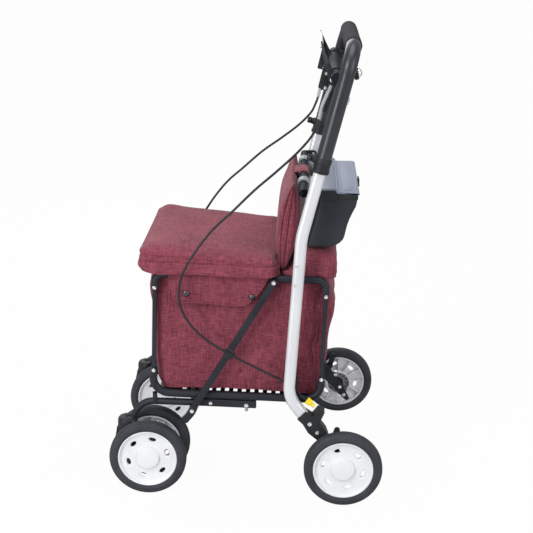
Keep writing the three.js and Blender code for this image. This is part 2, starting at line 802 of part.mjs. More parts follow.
function strutShape() {
  const bar = plate(
    capsule(strutTopY, strutTopZ, strutFootY, strutFootZ, strutWidth / 2), strutInner, strutOuter,
  );
  const clip = crossPin(strutInner, strutOuter + clipProud, clipY, clipZ, clipRadius, 8);
  const heads = [[strutTopY, strutTopZ], [strutStudY, strutStudZ]].map(([y, z]) =>
    crossPin(strutInner, strutOuter + clipProud, y, z, axleRadius - shoulder, 10));
  return join(bar, clip, ...heads);
}

// Tray rail with fork ends, the hinge plate that turns on the upright, and the post to the front leg
function trayRailShape() {
  const rail = tube([
    place(frameX, frontBoltY, frontBoltZ - pinEarRadius),
    place(frameX, railFrontY, railFrontZ),
    place(frameX, railRearY, railRearZ),
    place(frameX, rearBoltY, rearBoltZ - pinEarRadius),
  ], [railFrontBend, railRearBend], railRadius, 10);
  const [frontEar, frontSlot] = forkEnd(frontBoltY, frontBoltZ, frontBoltZ - pinEarRadius * 2);
  const [rearEar, rearSlot] = forkEnd(rearBoltY, rearBoltZ, rearBoltZ - pinEarRadius * 2);
  const hinge = plate(
    capsule(basePivotY, railZ(basePivotY), basePivotY, basePivotZ, hingePlateHalf),
    frameX + linkWidth / 2 + earWall / 2, railOuter + hingePlateThickness - touchGap,
  );
  const pin = crossPin(railOuter, uprightInner - touchGap, basePivotY, basePivotZ, pivotBossRadius);
  const stubTop = railZ(postY) + railRadius * 1.5;
  const stub = post(frameX, postY, legTubeZ + legTubeRadius + touchGap, stubTop, postRadius, 10);
  return join(cut(join(rail, frontEar, rearEar), frontSlot, rearSlot), hinge, pin, stub);
}

// Tray: a grille of square holes between the rails
function trayShape() {
  const half = railInner - touchGap;
  const frontY = railFrontY + trayMargin;
  const rearY = railRearY - trayMargin / 2;
  const deck = block(-half, half, frontY, rearY, -trayThickness / 2, trayThickness / 2);
  const rows = [];
  for (let y = frontY + trayPitch; y < rearY - trayHole; y += trayPitch) {
    [-1, 1].forEach((side) => {
      const x = side * (half - trayMargin);
      const fromY = y - trayHole / 2;
      rows.push(block(x - trayHole, x + trayHole, fromY, fromY + trayHole, -trayThickness, trayThickness));
    });
  }
  const flat = cut(deck, ...rows);
  const middle = (frontY + rearY) / 2;
  return tiltAbout(flat.translate([0, 0, railZ(middle)]), railSlope, middle, railZ(middle));
}

function channelShape() {
  const half = channelWidth / 2;
  const middle = (channelFrontY + channelRearY) / 2;
  const top = railZ(middle) - railRadius - touchGap;
  const bar = block(frameX - half, frameX + half, channelFrontY, channelRearY, top - channelHeight, top);
  return tiltAbout(bar, railSlope, middle, top);
}

const housingClear = (x, y, fromZ, toZ, grow) => post(x, y, fromZ, toZ, housingRadius + grow, 20);

function frontLegShape() {
  const leg = tube([
    place(stemX, legStartY, housingTopZ - overrun),
    place(stemX, legKneeY, legTubeZ),
    place(frameX, channelFrontY - shoulder, legTubeZ),
  ], [legBend], legTubeRadius);
  const ear = crossPin(frameX - legTubeRadius / 2, strutInner - touchGap, strutStudY, strutStudZ, studRadius);
  const housing = housingClear(stemX, stemY, housingFootZ, housingTopZ + touchGap, touchGap);
  return cut(join(leg, ear), housing);
}

function housingShape() {
  const body = housingClear(stemX, stemY, housingFootZ, housingTopZ, 0);
  const nose = block(stemX - noseHalf, stemX + noseHalf, stemY - housingNose, stemY,
    housingFootZ, housingFootZ + noseHeight);
  const capY = stemY - postRadius / 2;
  const cap = post(stemX, capY, housingTopZ - overrun, housingTopZ + housingCrown, postRadius);
  const seatTop = housingFootZ + overrun * 4;
  const seat = post(stemX, stemY, housingFootZ - overrun, seatTop, axleRadius + runningGap);
  return cut(join(body, nose, cap), seat);
}

function forkShape() {
  const top = housingFootZ - touchGap;
  const disc = post(stemX, stemY, top - forkFlange, top, housingRadius - shoulder);
  const stem = post(stemX, stemY, top - overrun, top + overrun * 3, axleRadius);
  const cheek = plate(outline([
    [stemY - housingRadius + shoulder, top - forkFlange / 2],
    [stemY - housingRadius + forkFlange / 2, top - forkFlange * 3],
    [casterAxleY - hubRadius, wheelRadius - hubRadius],
    [casterAxleY + hubRadius, wheelRadius - hubRadius / 2],
    [casterAxleY + hubRadius, wheelRadius + hubRadius / 2],
    [stemY + housingRadius, top - forkFlange / 2],
  ]), stemX - forkHalf, stemX + forkHalf);
  const reach = twinHalf + rimWidth / 2 - dishInset - dishThickness - runningGap;
  const axle = crossPin(stemX - reach, stemX + reach, casterAxleY, wheelRadius, axleRadius);
  const spacerReach = twinHalf - rimWidth / 2 - touchGap;
  const spacer = crossPin(
    stemX - spacerReach, stemX + spacerReach, casterAxleY, wheelRadius, hubRadius - shoulder,
  );
  return join(disc, stem, cheek, axle, spacer);
}

// A padded solid: crowned on top, with its sides drawn in between the corners and its edges eased
const edgeShare = 1 / 16;

function padded(halfX, halfY, thickness, crown, draw) {
  const geometry = new THREE.BoxGeometry(2, 2, 1, 8, 8, 2);
  const spots = geometry.attributes.position;
  for (let i = 0; i < spots.count; i += 1) {
    const x = spots.getX(i);
    const y = spots.getY(i);
    const z = spots.getZ(i);
    const swell = (1 - x ** 4) * (1 - y ** 4);
    const round = 1 - edgeShare * z ** 4 * (x ** 8 + y ** 8);
    const inX = halfX - draw * (1 - y * y) * Math.abs(x);
    const inY = halfY - (draw / 2) * (1 - x * x) * Math.abs(y);
    spots.setXYZ(i, x * inX * round, y * inY * round,
      z * thickness + (z > 0 ? crown * swell : 0));
  }
  return solid(geometry);
}

function cushionShape() {
  const middleY = (cushionFrontY + cushionRearY) / 2;
  const halfY = (cushionRearY - cushionFrontY) / 2;
  const base = frameZ(middleY) + frameRadius + lidThickness + touchGap * 2;
  const pad = padded(cushionHalfWidth, halfY, cushionThickness - cushionCrown, cushionCrown, cushionDraw)
    .translate([0, middleY, base + (cushionThickness - cushionCrown) / 2]);
  return tiltAbout(pad, seatSlope, middleY, base);
}

function seatBoardShape() {
  const middleY = (cushionFrontY + cushionRearY) / 2;
  const base = frameZ(middleY) + frameRadius + touchGap;
  const board = block(-lidHalfWidth, lidHalfWidth, cushionFrontY + trayMargin, cushionRearY - overrun,
    base, base + lidThickness);
  return tiltAbout(board, seatSlope, middleY, base);
}

// Backrest: a pad whose cloth loops round the cross bar at its top
const barSides = 12;

function backrestShape() {
  const height = backrestTopZ - backrestFootZ;
  const slope = (backrestTopY - backrestFootY) / height;
  const depth = backrestThickness - backrestCrown;
  const pad = padded(backrestHalfWidth, height / 2, depth, backrestCrown, cushionDraw).rotate([90, 0, 0]);
  const leaned = pad.rotate([(-Math.atan(slope) * 180) / Math.PI, 0, 0]);
  const placed = leaned.translate([
    0, (backrestFootY + backrestTopY) / 2, (backrestTopZ + backrestFootZ) / 2,
  ]);
  const bore = boxBarRadius / Math.cos(Math.PI / barSides) + touchGap;
  const loop = crossPin(-sleeveHalf, sleeveHalf, boxBarY, boxBarZ, bore + sleeveWall, barSides);
  const tab = block(
    -sleeveHalf, sleeveHalf, backrestTopY, boxBarY, boxBarZ - bore - sleeveWall, boxBarZ,
  );
  const hole = crossPin(-frameX, frameX, boxBarY, boxBarZ, bore, barSides);
  return cut(join(placed, loop, tab), hole);
}

// Bag: an open shell that tapers a little towards its foot
function bagOutline(inset) {
  const halfX = bagHalfWidth - inset;
  const frontY = bagFrontY + inset;
  const rearY = bagRearY - inset;
  const corner = bagCorner - inset;
  const shape = new THREE.Shape();
  shape.absarc(halfX - corner, rearY - corner, corner, 0, Math.PI / 2);
  shape.absarc(-halfX + corner, rearY - corner, corner, Math.PI / 2, Math.PI);
  shape.absarc(-halfX + corner, frontY + corner, corner, Math.PI, Math.PI * 1.5);
  shape.absarc(halfX - corner, frontY + corner, corner, Math.PI * 1.5, Math.PI * 2);
  return shape;
}

function bagBlock(inset, fromZ, toZ, draw) {
  const geometry = new THREE.ExtrudeGeometry(bagOutline(inset), {
    depth: toZ - fromZ, steps: 2, bevelEnabled: false, curveSegments: 3,
  });
  const middleY = (bagFrontY + bagRearY) / 2;
  const spots = geometry.attributes.position;
  for (let i = 0; i < spots.count; i += 1) {
    const share = spots.getZ(i) / (toZ - fromZ);
    const pull = draw * (1 - share);
    const x = spots.getX(i);
    const y = spots.getY(i);
    spots.setXYZ(i, x - Math.sign(x) * pull, y - Math.sign(y - middleY) * pull, spots.getZ(i) + fromZ);
  }
  return solid(geometry);
}

function bagShape() {
  const floorZ = railZ(channelRearY) + trayThickness / 2 + touchGap;
  const outer = bagBlock(0, floorZ, bagTopZ + overrun, bagDraw);
  const inner = bagBlock(bagWall, floorZ + bagWall, bagTopZ + overrun * 3, bagDraw);
  const shell = cut(outer, inner);
  const span = frameX * 2;
  const middle = (railFrontY + trayMargin + railRearY - trayMargin / 2) / 2;
  const trayTop = railZ(middle) + trayThickness / 2 + touchGap;
  const bed = tiltAbout(
    block(-span, span, railFrontY - span, railRearY + span, trayTop - span, trayTop),
    railSlope, middle, trayTop,
  );
  return cut(shell, bed);
}

function coverShape() {
  const base = rearCornerZ - rearBarDrop + crossBarRadius + touchGap;
  const shape = new THREE.Shape();
  const corner = coverThickness / 3;
  shape.moveTo(coverFrontY, base);
  shape.lineTo(coverRearY - corner, base);
  shape.absarc(coverRearY - corner, base + corner, corner, -Math.PI / 2, 0);
  shape.absarc(coverRearY - coverThickness + corner, base + coverThickness - corner, corner, 0, Math.PI / 2);
  shape.lineTo(coverFrontY, base + coverThickness);
  return plate(shape, -coverHalfWidth, coverHalfWidth, 4);
}

// The box and its lid
function boxOutline(inset, topZ) {
  return outline([
    [boxTopFrontY + inset, topZ], [boxTopFrontY + inset, boxTopZ],
    [boxFootFrontY + inset * 2, boxFootZ + inset], [boxFootRearY - inset, boxFootZ + inset],
    [boxBellyY - inset, boxBellyZ], [boxTopRearY - inset, boxTopZ - boxWall * 5],
    [boxTopRearY - inset, topZ],
  ]);
}

function boxShape() {
  const blank = plate(boxOutline(0, boxTopZ + overrun), -boxHalfWidth, boxHalfWidth);
  const above = block(-frameX, frameX, -frameX, frameX, boxTopZ, boxTopZ + frameX);
  const outer = cut(blank, above);
  const inner = plate(boxOutline(boxWall, boxTopZ + overrun), boxWall - boxHalfWidth, boxHalfWidth - boxWall);
  const reach = boxBarRadius + touchGap;
  const outerHook = reach + hookWall;
  const hooks = [-1, 1].map((side) => {
    const from = side * hookX - hookHalf;
    const to = side * hookX + hookHalf;
    const shape = new THREE.Shape();
    shape.moveTo(boxBarY - outerHook, boxBarZ - outerHook / 2);
    shape.lineTo(boxBarY - outerHook, boxBarZ);
    shape.absarc(boxBarY, boxBarZ, outerHook, Math.PI, 0, true);
    shape.lineTo(boxTopFrontY - hookWall * 2.5, boxTopZ - hookWall);
    shape.lineTo(boxTopFrontY + boxWall / 2, boxTopZ - hookWall);
    shape.lineTo(boxTopFrontY - hookWall, boxTopZ - outerHook * 2);
    shape.lineTo(boxBarY + reach, boxTopZ - outerHook * 2);
    shape.lineTo(boxBarY + reach, boxBarZ);
    shape.absarc(boxBarY, boxBarZ, reach, 0, Math.PI, false);
    shape.lineTo(boxBarY - reach, boxBarZ - outerHook / 2);
    return plate(shape, from, to, 8);
  });
  return join(cut(outer, inner), ...hooks);
}

function boxLidShape() {
  const base = boxTopZ + touchGap;
  const half = boxHalfWidth + boxWall / 2;
  const shell = plate(outline([
    [lidFrontY, base], [lidRearY, base], [lidRearY + boxWall / 2, lidCrownZ - lidStepDrop - boxWall],
    [lidRearY - boxWall, lidCrownZ - lidStepDrop], [lidStepY, lidCrownZ - lidStepDrop],
    [lidStepY - boxWall * 2, lidCrownZ], [lidFrontY + boxWall, lidCrownZ], [lidFrontY, lidCrownZ - boxWall],
  ]), -half, half);
  const well = plate(outline([
    [lidFrontY + boxWall, base - overrun], [lidRearY - boxWall, base - overrun],
    [lidRearY - boxWall, boxLidZ + boxWall], [lidFrontY + boxWall, boxLidZ + boxWall],
  ]), -half + boxWall, half - boxWall);
  return cut(shell, well);
}

function latchShape() {
  const y = lidRearY + boxWall / 2 + touchGap;
  const top = lidCrownZ - lidStepDrop - boxWall;
  return block(-latchWidth / 2, latchWidth / 2, y, y + latchThickness, top - latchHeight, top);
}

// Cross bar in front of the uprights, with a lug at each end that is bolted to their inner faces
function crossbarShape() {
  const reach = uprightInner - touchGap;
  const bar = crossPin(-reach, reach, boxBarY, boxBarZ, boxBarRadius, barSides);
  const lug = capsule(boxBarY, boxBarZ, leanY(boxBarZ), boxBarZ, boxBarRadius);
  return join(bar, plate(lug, -reach, boxBarLug - reach), plate(lug, reach - boxBarLug, reach));
}

// Brake cable: one smooth curve through its route
function cableShape() {
  const curve = new THREE.CatmullRomCurve3(cableRoute.map(([x, y, z]) => place(x, y, z)));
  const geometry = new THREE.ExtrudeGeometry(roundSection(cableDiameter / 2, cableSides), {
    steps: cableSteps, extrudePath: curve, bevelEnabled: false,
  });
  return solid(geometry);
}

// Assembly: each side is built on +X and mirrored for the other
const rollator = new THREE.Group();
const casterFrontY = casterAxleY - wheelRadius;
rollator.position.y = -(casterFrontY + wheelRadius) / 2;

function addSide(side, suffix) {
  const group = new THREE.Group();
  group.scale.x = side;
  const pieces = [
    ["upright", uprightShape(), silver],
    ["rear_bracket", rearBracketShape(), blackPlastic],
    ["brake_arm", brakeArmShape(), blackPlastic],
    ["leg_collar", collarShape(), blackPlastic],
    ["height_knob", knobShape(), blackPlastic],
    ["brake_bracket", brakeBracketShape(), blackPlastic],
    ["front_link", linkShape(frontPinY, frontPinZ), blackTube],
    ["rear_link", linkShape(rearPinY, rearPinZ), blackTube],
    ["strut", strutShape(), blackTube],
    ["tray_rail", trayRailShape(), blackTube],
    ["channel", channelShape(), blackTube],
    ["front_leg", frontLegShape(), blackTube],
    ["caster_housing", housingShape(), blackPlastic],
    ["caster_fork", forkShape(), blackPlastic],
    ["brake_cable", cableShape(), blackPlastic],
  ];
  pieces.forEach(([name, shape, material]) => group.add(piece(`${name}_${suffix}`, shape, material)));
  group.add(wheel(`rear_wheel_${suffix}`, rearWheelX, 0, true, 1));
  group.add(wheel(`caster_wheel_outer_${suffix}`, stemX + twinHalf, casterAxleY, false, 1));
  group.add(wheel(`caster_wheel_inner_${suffix}`, stemX - twinHalf, casterAxleY, false, -1));
  rollator.add(group);
}

addSide(1, "left");
addSide(-1, "right");

rollator.add(piece("handle_tube", handleShape(legRadius, legWall), blackTube));
rollator.add(piece("handle_grip", gripShape(), foam));
rollator.add(piece("brake_carrier", carrierShape(), blackTube));
rollator.add(piece("brake_bar", brakeBarShape(), blackTube));
rollator.add(piece("bell", bellShape(), blackPlastic));
rollator.add(piece("bell_lever", bellLeverShape(), chrome));
rollator.add(piece("seat_frame", seatFrameShape(), blackTube));
rollator.add(piece("seat_board", seatBoardShape(), blackPlastic));
rollator.add(piece("seat_cushion", cushionShape(), burgundy));
rollator.add(piece("backrest", backrestShape(), burgundy));
rollator.add(piece("shopping_bag", bagShape(), burgundy));
rollator.add(piece("bag_rear_cover", coverShape(), burgundy));
rollator.add(piece("tray", trayShape(), blackPlastic));
rollator.add(piece("crossbar", crossbarShape(), blackTube));
rollator.add(piece("utility_box", boxShape(), boxGrey));
rollator.add(piece("box_lid", boxLidShape(), lidGrey));
rollator.add(piece("box_latch", latchShape(), blackPlastic));

export default rollator;
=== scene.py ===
# A shopping rollator, dressed round its frame: painted and anodised tube, moulded plastic, rubber
# wheels and sewn cloth. Metres, +Z up. The front is -Y, the walking user stands at +Y, and +X is
# the user's left. Places run (x, distance behind the rear axle, height), as a maker would chalk them.
import math

import bmesh
import bpy
from mathutils import Matrix, Vector, noise
from mathutils.bvhtree import BVHTree


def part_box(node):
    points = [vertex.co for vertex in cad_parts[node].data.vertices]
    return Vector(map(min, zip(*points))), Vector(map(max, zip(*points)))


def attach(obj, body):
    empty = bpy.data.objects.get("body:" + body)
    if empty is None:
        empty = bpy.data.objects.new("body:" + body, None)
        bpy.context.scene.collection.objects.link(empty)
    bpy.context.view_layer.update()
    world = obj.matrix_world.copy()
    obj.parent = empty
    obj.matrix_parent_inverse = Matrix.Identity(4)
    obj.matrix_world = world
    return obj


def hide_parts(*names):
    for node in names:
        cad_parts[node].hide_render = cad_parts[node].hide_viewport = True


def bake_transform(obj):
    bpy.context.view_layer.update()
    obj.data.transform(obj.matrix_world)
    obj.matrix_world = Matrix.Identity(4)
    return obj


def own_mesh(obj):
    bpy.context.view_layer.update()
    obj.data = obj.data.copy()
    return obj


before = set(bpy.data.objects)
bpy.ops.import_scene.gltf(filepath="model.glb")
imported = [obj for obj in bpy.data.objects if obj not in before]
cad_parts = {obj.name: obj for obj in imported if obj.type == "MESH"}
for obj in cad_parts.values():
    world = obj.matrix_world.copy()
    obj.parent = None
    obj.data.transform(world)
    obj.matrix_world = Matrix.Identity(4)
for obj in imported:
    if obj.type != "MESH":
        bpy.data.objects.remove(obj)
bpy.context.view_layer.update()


# Uprights: one flat-sided aluminium tube on each side, bent at the knee and again above the wheel.
# Each is drawn, bent cold and anodised satin silver, and two rivets by the seat hold its pivots.
axle_y = sum(corner.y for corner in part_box("rear_wheel_left_rim")) / 2
hands = ((1, "left"), (-1, "right"))
upright_x = 0.1975
upright_width = 0.024
upright_corner = 0.008
upright_top_z = 0.8
upright_knee = (-0.0909, 0.5696)
upright_heel = (-0.1152, 0.226)
upright_foot = (-0.0748, 0.1731)
handle_lean = math.radians(14.5)
rivet_places = ((-0.102, 0.4727), (-0.0993, 0.5128))
rivet_radius, rivet_rise, rivet_socket = 0.0034, 0.0011, 0.0014
knee_bend, heel_bend = 0.16, 0.07
leftward = Vector((1, 0, 0))
rearward = Vector((0, 1, 0))
upward = Vector((0, 0, 1))
noise_spread = (0.3, 0.7)


def spot(x, y, z):
    """A point in the frame, from its distances out from the middle, behind the axle and above the floor."""
    return Vector((x, axle_y + y, z))


def leg_y(z):
    """Where the leaning part of an upright runs at a height, and the handle's leg in line with it."""
    return upright_knee[0] + (z - upright_knee[1]) * math.tan(handle_lean)


def placed(name, data):
    """A new object in the scene, with its mesh, lamp or camera."""
    one = bpy.data.objects.new(name, data)
    bpy.context.scene.collection.objects.link(one)
    return one


def smoothed(mesh, crease=None):
    """Shades a mesh smooth, but for the edges that are sharper than its crease."""
    mesh.polygons.foreach_set("use_smooth", [True] * len(mesh.polygons))
    if crease:
        mesh.set_sharp_from_angle(angle=math.radians(crease))


def made(name, points, faces, crease=35):
    """A mesh piece, smooth but for its creases."""
    mesh = bpy.data.meshes.new(name)
    mesh.from_pydata([tuple(point) for point in points], [], faces)
    smoothed(mesh, crease)
    mesh.update()
    return placed(name, mesh)


def gathered(name, pieces):
    """Several meshes welded, riveted or screwed into one piece."""
    whole = bmesh.new()
    for one in pieces:
        whole.from_mesh(one.data)
        spent = one.data
        bpy.data.objects.remove(one)
        bpy.data.meshes.remove(spent)
    mesh = bpy.data.meshes.new(name)
    whole.to_mesh(mesh)
    whole.free()
    return placed(name, mesh)


def mirrored(one, hand):
    """The left piece as it is, or turned over for the right side."""
    if hand < 0:
        one.data.transform(Matrix.Scale(-1, 4, leftward))
        one.data.flip_normals()
    return one


def fitted(one, body, slot, finish, *nodes):
    """Puts a piece in its finish, on its body and in place of the plain solids that it stands for."""
    one.data.materials.clear()
    one.data.materials.append(finish)
    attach(one, body)
    if nodes:
        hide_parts(*nodes)
    return one


def bent(corners, radii, steps=8):
    """Straight runs joined by round bends."""
    stations = [corners[0]]
    for before, corner, after, radius in zip(corners, corners[1:], corners[2:], radii):
        back = (before - corner).normalized()
        ahead = (after - corner).normalized()
        half = back.angle(ahead) / 2
        reach = radius / math.tan(half)
        centre = corner + (back + ahead).normalized() * (radius / math.sin(half))
        spoke = corner + back * reach - centre
        last = corner + ahead * reach - centre
        axis = spoke.cross(last).normalized()
        turn = spoke.angle(last)
        for k in range(steps + 1):
            stations.append(centre + Matrix.Rotation(turn * k / steps, 3, axis) @ spoke)
    return stations + [corners[-1]]


def ring_faces(rings, count):
    """The faces between closed rings of points that follow one another."""
    faces = []
    for i in range(rings - 1):
        for k in range(count):
            a, b = i * count + k, i * count + (k + 1) % count
            faces.append((a, b, b + count, a + count))
    return faces


def swept(name, stations, section, side=leftward, crease=35):
    """A section carried along a path, kept square to it."""
    points = []
    across = side.normalized()
    last = len(stations) - 1
    for i, station in enumerate(stations):
        arriving = (station - stations[max(i - 1, 0)]).normalized()
        leaving = (stations[min(i + 1, last)] - station).normalized()
        way = (arriving + leaving).normalized()
        across = (across - way * across.dot(way)).normalized()
        rise = way.cross(across)
        points += [station + across * u + rise * v for u, v in section]
    count = len(section)
    ends = [tuple(reversed(range(count))), tuple(range(last * count, (last + 1) * count))]
    return made(name, points, ends + ring_faces(last + 1, count), crease)


def turns(count):
    """Angles in even steps round a circle."""
    return [2 * math.pi * k / count for k in range(count)]


def round_section(radius, sides=28):
    return [(radius * math.cos(turn), radius * math.sin(turn)) for turn in turns(sides)]


def square_section(width, depth, corner, steps=6):
    points = []
    for quarter, (x, y) in enumerate(((1, 1), (-1, 1), (-1, -1), (1, -1))):
        for k in range(steps + 1):
            turn = (quarter + k / steps) * math.pi / 2
            points.append((x * (width / 2 - corner) + corner * math.cos(turn),
                           y * (depth / 2 - corner) + corner * math.sin(turn)))
    return points


def turned(name, profile, seat, way, segments=48, crease=35):
    """A turned shape: its profile gives (radius, distance along the way) from its seat."""
    turn = way.to_track_quat("Z", "Y").to_matrix()
    points, rings = [], []
    for radius, along in profile:
        count = segments if radius > 0 else 1
        rings.append(range(len(points), len(points) + count))
        for angle in turns(segments)[:count]:
            round_place = Vector((radius * math.cos(angle), radius * math.sin(angle), along))
            points.append(seat + turn @ round_place)
    faces = []
    for low, high in zip(rings, rings[1:]):
        for k in range(segments):
            a, b = low[k % len(low)], low[(k + 1) % len(low)]
            c, d = high[(k + 1) % len(high)], high[k % len(high)]
            corners = list(dict.fromkeys((a, b, c, d)))
            if len(corners) > 2:
                faces.append(tuple(corners))
    return made(name, points, faces, crease)


def domed(name, seat, way, radius, rise, socket=0.0, segments=24):
    """A rivet or screw head: a low dome, with a round socket where it is a screw."""
    profile = [(radius, 0), (radius, rise * 0.35), (radius * 0.86, rise * 0.8)]
    if socket:
        profile += [(socket * 1.12, rise), (socket, rise * 0.9), (socket * 0.92, rise * 0.25),
                    (0, rise * 0.2)]
    else:
        profile += [(radius * 0.5, rise), (0, rise * 1.04)]
    return turned(name, profile, seat, way, segments)


def new_finish(name, roughness, metallic=0.0, gleam=0.5):
    """A material with its nodes, its links and its shader, ready to be worked up."""
    finish = bpy.data.materials.new(name)
    finish.use_nodes = True
    nodes = finish.node_tree.nodes
    shader = nodes["Principled BSDF"]
    shader.inputs["Roughness"].default_value = roughness
    shader.inputs["Metallic"].default_value = metallic
    shader.inputs["Specular IOR Level"].default_value = gleam
    return finish, nodes, finish.node_tree.links, shader


def flecks(nodes, links, scale, stretch=(1, 1, 1), detail=2.0):
    """Noise that is fixed to the piece, drawn out along its grain."""
    where = nodes.new("ShaderNodeTexCoord")
    mapping = nodes.new("ShaderNodeMapping")
    mapping.inputs["Scale"].default_value = stretch
    speckle = nodes.new("ShaderNodeTexNoise")
    speckle.inputs["Scale"].default_value = scale
    speckle.inputs["Detail"].default_value = detail
    links.new(where.outputs["Object"], mapping.inputs["Vector"])
    links.new(mapping.outputs["Vector"], speckle.inputs["Vector"])
    return speckle.outputs["Fac"]


def ranged(nodes, links, value, from_low, from_high, low, high):
    scaled = nodes.new("ShaderNodeMapRange")
    links.new(value, scaled.inputs["Value"])
    ends = {"From Min": from_low, "From Max": from_high, "To Min": low, "To Max": high}
    for end, number in ends.items():
        scaled.inputs[end].default_value = number
    return scaled.outputs["Result"]


def shaded(nodes, links, shader, factor, dark, light):
    """Colours the shader between a dark and a light tone."""
    tones = nodes.new("ShaderNodeMix")
    tones.data_type = "RGBA"
    tones.inputs["A"].default_value = (*dark, 1)
    tones.inputs["B"].default_value = (*light, 1)
    links.new(factor, tones.inputs["Factor"])
    links.new(tones.outputs["Result"], shader.inputs["Base Color"])


def clouded(nodes, links, shader, cloud, dark, light):
    """Colours the shader in soft clouds of two tones."""
    shaded(nodes, links, shader, ranged(nodes, links, cloud, *noise_spread, 0, 1), dark, light)


def roughened(nodes, links, shader, value, low, high):
    """Lets the shader's roughness wander between two values."""
    links.new(ranged(nodes, links, value, *noise_spread, low, high), shader.inputs["Roughness"])


def embossed(nodes, links, shader, height, strength, depth):
    bump = nodes.new("ShaderNodeBump")
    bump.inputs["Strength"].default_value = strength
    bump.inputs["Distance"].default_value = depth
    links.new(height, bump.inputs["Height"])
    links.new(bump.outputs["Normal"], shader.inputs["Normal"])


def satin_silver():
    finish, nodes, links, shader = new_finish("satin_silver", 0.34, 0.35)
    drawn = flecks(nodes, links, 900, (1, 0.25, 0.03), 3)
    cloud = flecks(nodes, links, 9)
    clouded(nodes, links, shader, cloud, (0.70, 0.715, 0.75), (0.775, 0.785, 0.81))
    roughened(nodes, links, shader, drawn, 0.28, 0.42)
    embossed(nodes, links, shader, drawn, 0.12, 0.0003)
    return finish


def bright_steel():
    finish, nodes, links, shader = new_finish("bright_steel", 0.22, 1.0)
    rubbed = flecks(nodes, links, 700)
    shaded(nodes, links, shader, rubbed, (0.72, 0.73, 0.75), (0.93, 0.93, 0.94))
    roughened(nodes, links, shader, rubbed, 0.16, 0.32)
    return finish


silver_finish = satin_silver()
steel_finish = bright_steel()


def bright_heads(name, heads, hand, body):
    """The heads of bright steel screws, bolts and rivets on one side."""
    fitted(mirrored(gathered(name, heads), hand), body, "bright_metal", steel_finish)


for hand, word in hands:
    path = bent([
        spot(upright_x, leg_y(upright_top_z), upright_top_z),
        spot(upright_x, *upright_knee), spot(upright_x, *upright_heel), spot(upright_x, *upright_foot),
    ], (knee_bend, heel_bend), 12)
    flat_sided = square_section(upright_width, upright_width, upright_corner)
    upright = mirrored(swept(f"upright_tube_{word}", path, flat_sided), hand)
    fitted(upright, "uprights", "silver_tube", silver_finish, f"upright_{word}")
    outer = upright_x + upright_width / 2
    rivets = [domed("rivet", spot(outer, y, z), leftward, rivet_radius, rivet_rise, rivet_socket)
              for y, z in rivet_places]
    bright_heads(f"upright_rivets_{word}", rivets, hand, "uprights")


# Push handle: one steel tube in a wide U, enamelled gloss black, that slides over both uprights.
# A dull foam sleeve covers the middle, closed by a smooth ring at either end.
leg_radius = 0.0153
leg_foot_z = 0.706
handle_bend = 0.05
grip_radius = 0.0176
grip_half = 0.1465
handle_z = 0.96 - grip_radius
handle_y = leg_y(handle_z)


def painted_black(name, roughness, gleam):
    finish, nodes, links, shader = new_finish(name, roughness, gleam=gleam)
    peel = flecks(nodes, links, 260, detail=1)
    cloud = flecks(nodes, links, 14)
    clouded(nodes, links, shader, cloud, (0.014, 0.015, 0.021), (0.022, 0.024, 0.033))
    roughened(nodes, links, shader, cloud, roughness - 0.06, roughness + 0.06)
    embossed(nodes, links, shader, peel, 0.06, 0.0004)
    return finish


def dull_foam():
    finish, nodes, links, shader = new_finish("dull_foam", 0.9, gleam=0.15)
    cells = flecks(nodes, links, 1500, detail=3)
    worn = flecks(nodes, links, 40)
    clouded(nodes, links, shader, worn, (0.026, 0.026, 0.031), (0.040, 0.040, 0.047))
    embossed(nodes, links, shader, cells, 0.5, 0.0006)
    return finish


gloss_finish = painted_black("gloss_black", 0.36, 0.62)
black_finish = painted_black("frame_black", 0.42, 0.26)
satin_finish = painted_black("satin_black", 0.62, 0.06)
handle_path = bent([
    spot(upright_x, leg_y(leg_foot_z), leg_foot_z), spot(upright_x, handle_y, handle_z),
    spot(-upright_x, handle_y, handle_z), spot(-upright_x, leg_y(leg_foot_z), leg_foot_z),
], (handle_bend, handle_bend), 16)
handle = swept("push_handle", handle_path, round_section(leg_radius, 40), rearward)
fitted(handle, "handle", "black_tube", gloss_finish, "handle_tube")

grip_profile = [
    (leg_radius, 0), (grip_radius - 0.0012, 0), (grip_radius, 0.0012), (grip_radius, 0.009),
    (grip_radius - 0.0006, 0.0096), (grip_radius - 0.0006, 0.0104), (grip_radius, 0.011),
]
grip_profile += [(grip_radius + 0.0002 * math.sin(k * 0.7), 0.011 + 0.0244 * k) for k in range(1, 10)]
grip_profile += [(radius, 2 * grip_half - along) for radius, along in reversed(grip_profile[:7])]
grip = turned("handle_foam", grip_profile, spot(-grip_half, handle_y, handle_z), leftward, 56)
fitted(grip, "handle", "grip_foam", dull_foam(), "handle_grip")


# Leg collars: moulded nylon sleeves that end the handle's legs, each with a lip and a screw boss.
# A winged knob screws into the boss and clamps the leg at the height that the user has set.
collar_z = 0.7034
collar_radius = 0.0178
collar_height = 0.03
knob_rise = 0.024
knob_gap = 0.0004
knob_radius = 0.007
knob_reach = 0.009
up_leg = Vector((0, math.sin(handle_lean), math.cos(handle_lean)))
off_leg = Vector((0, -math.cos(handle_lean), math.sin(handle_lean)))


def moulded_black():
    finish, nodes, links, shader = new_finish("moulded_black", 0.46, gleam=0.25)
    grain = flecks(nodes, links, 1300, detail=2)
    cloud = flecks(nodes, links, 30)
    clouded(nodes, links, shader, cloud, (0.014, 0.015, 0.018), (0.024, 0.026, 0.031))
    roughened(nodes, links, shader, cloud, 0.4, 0.54)
    embossed(nodes, links, shader, grain, 0.25, 0.0003)
    return finish


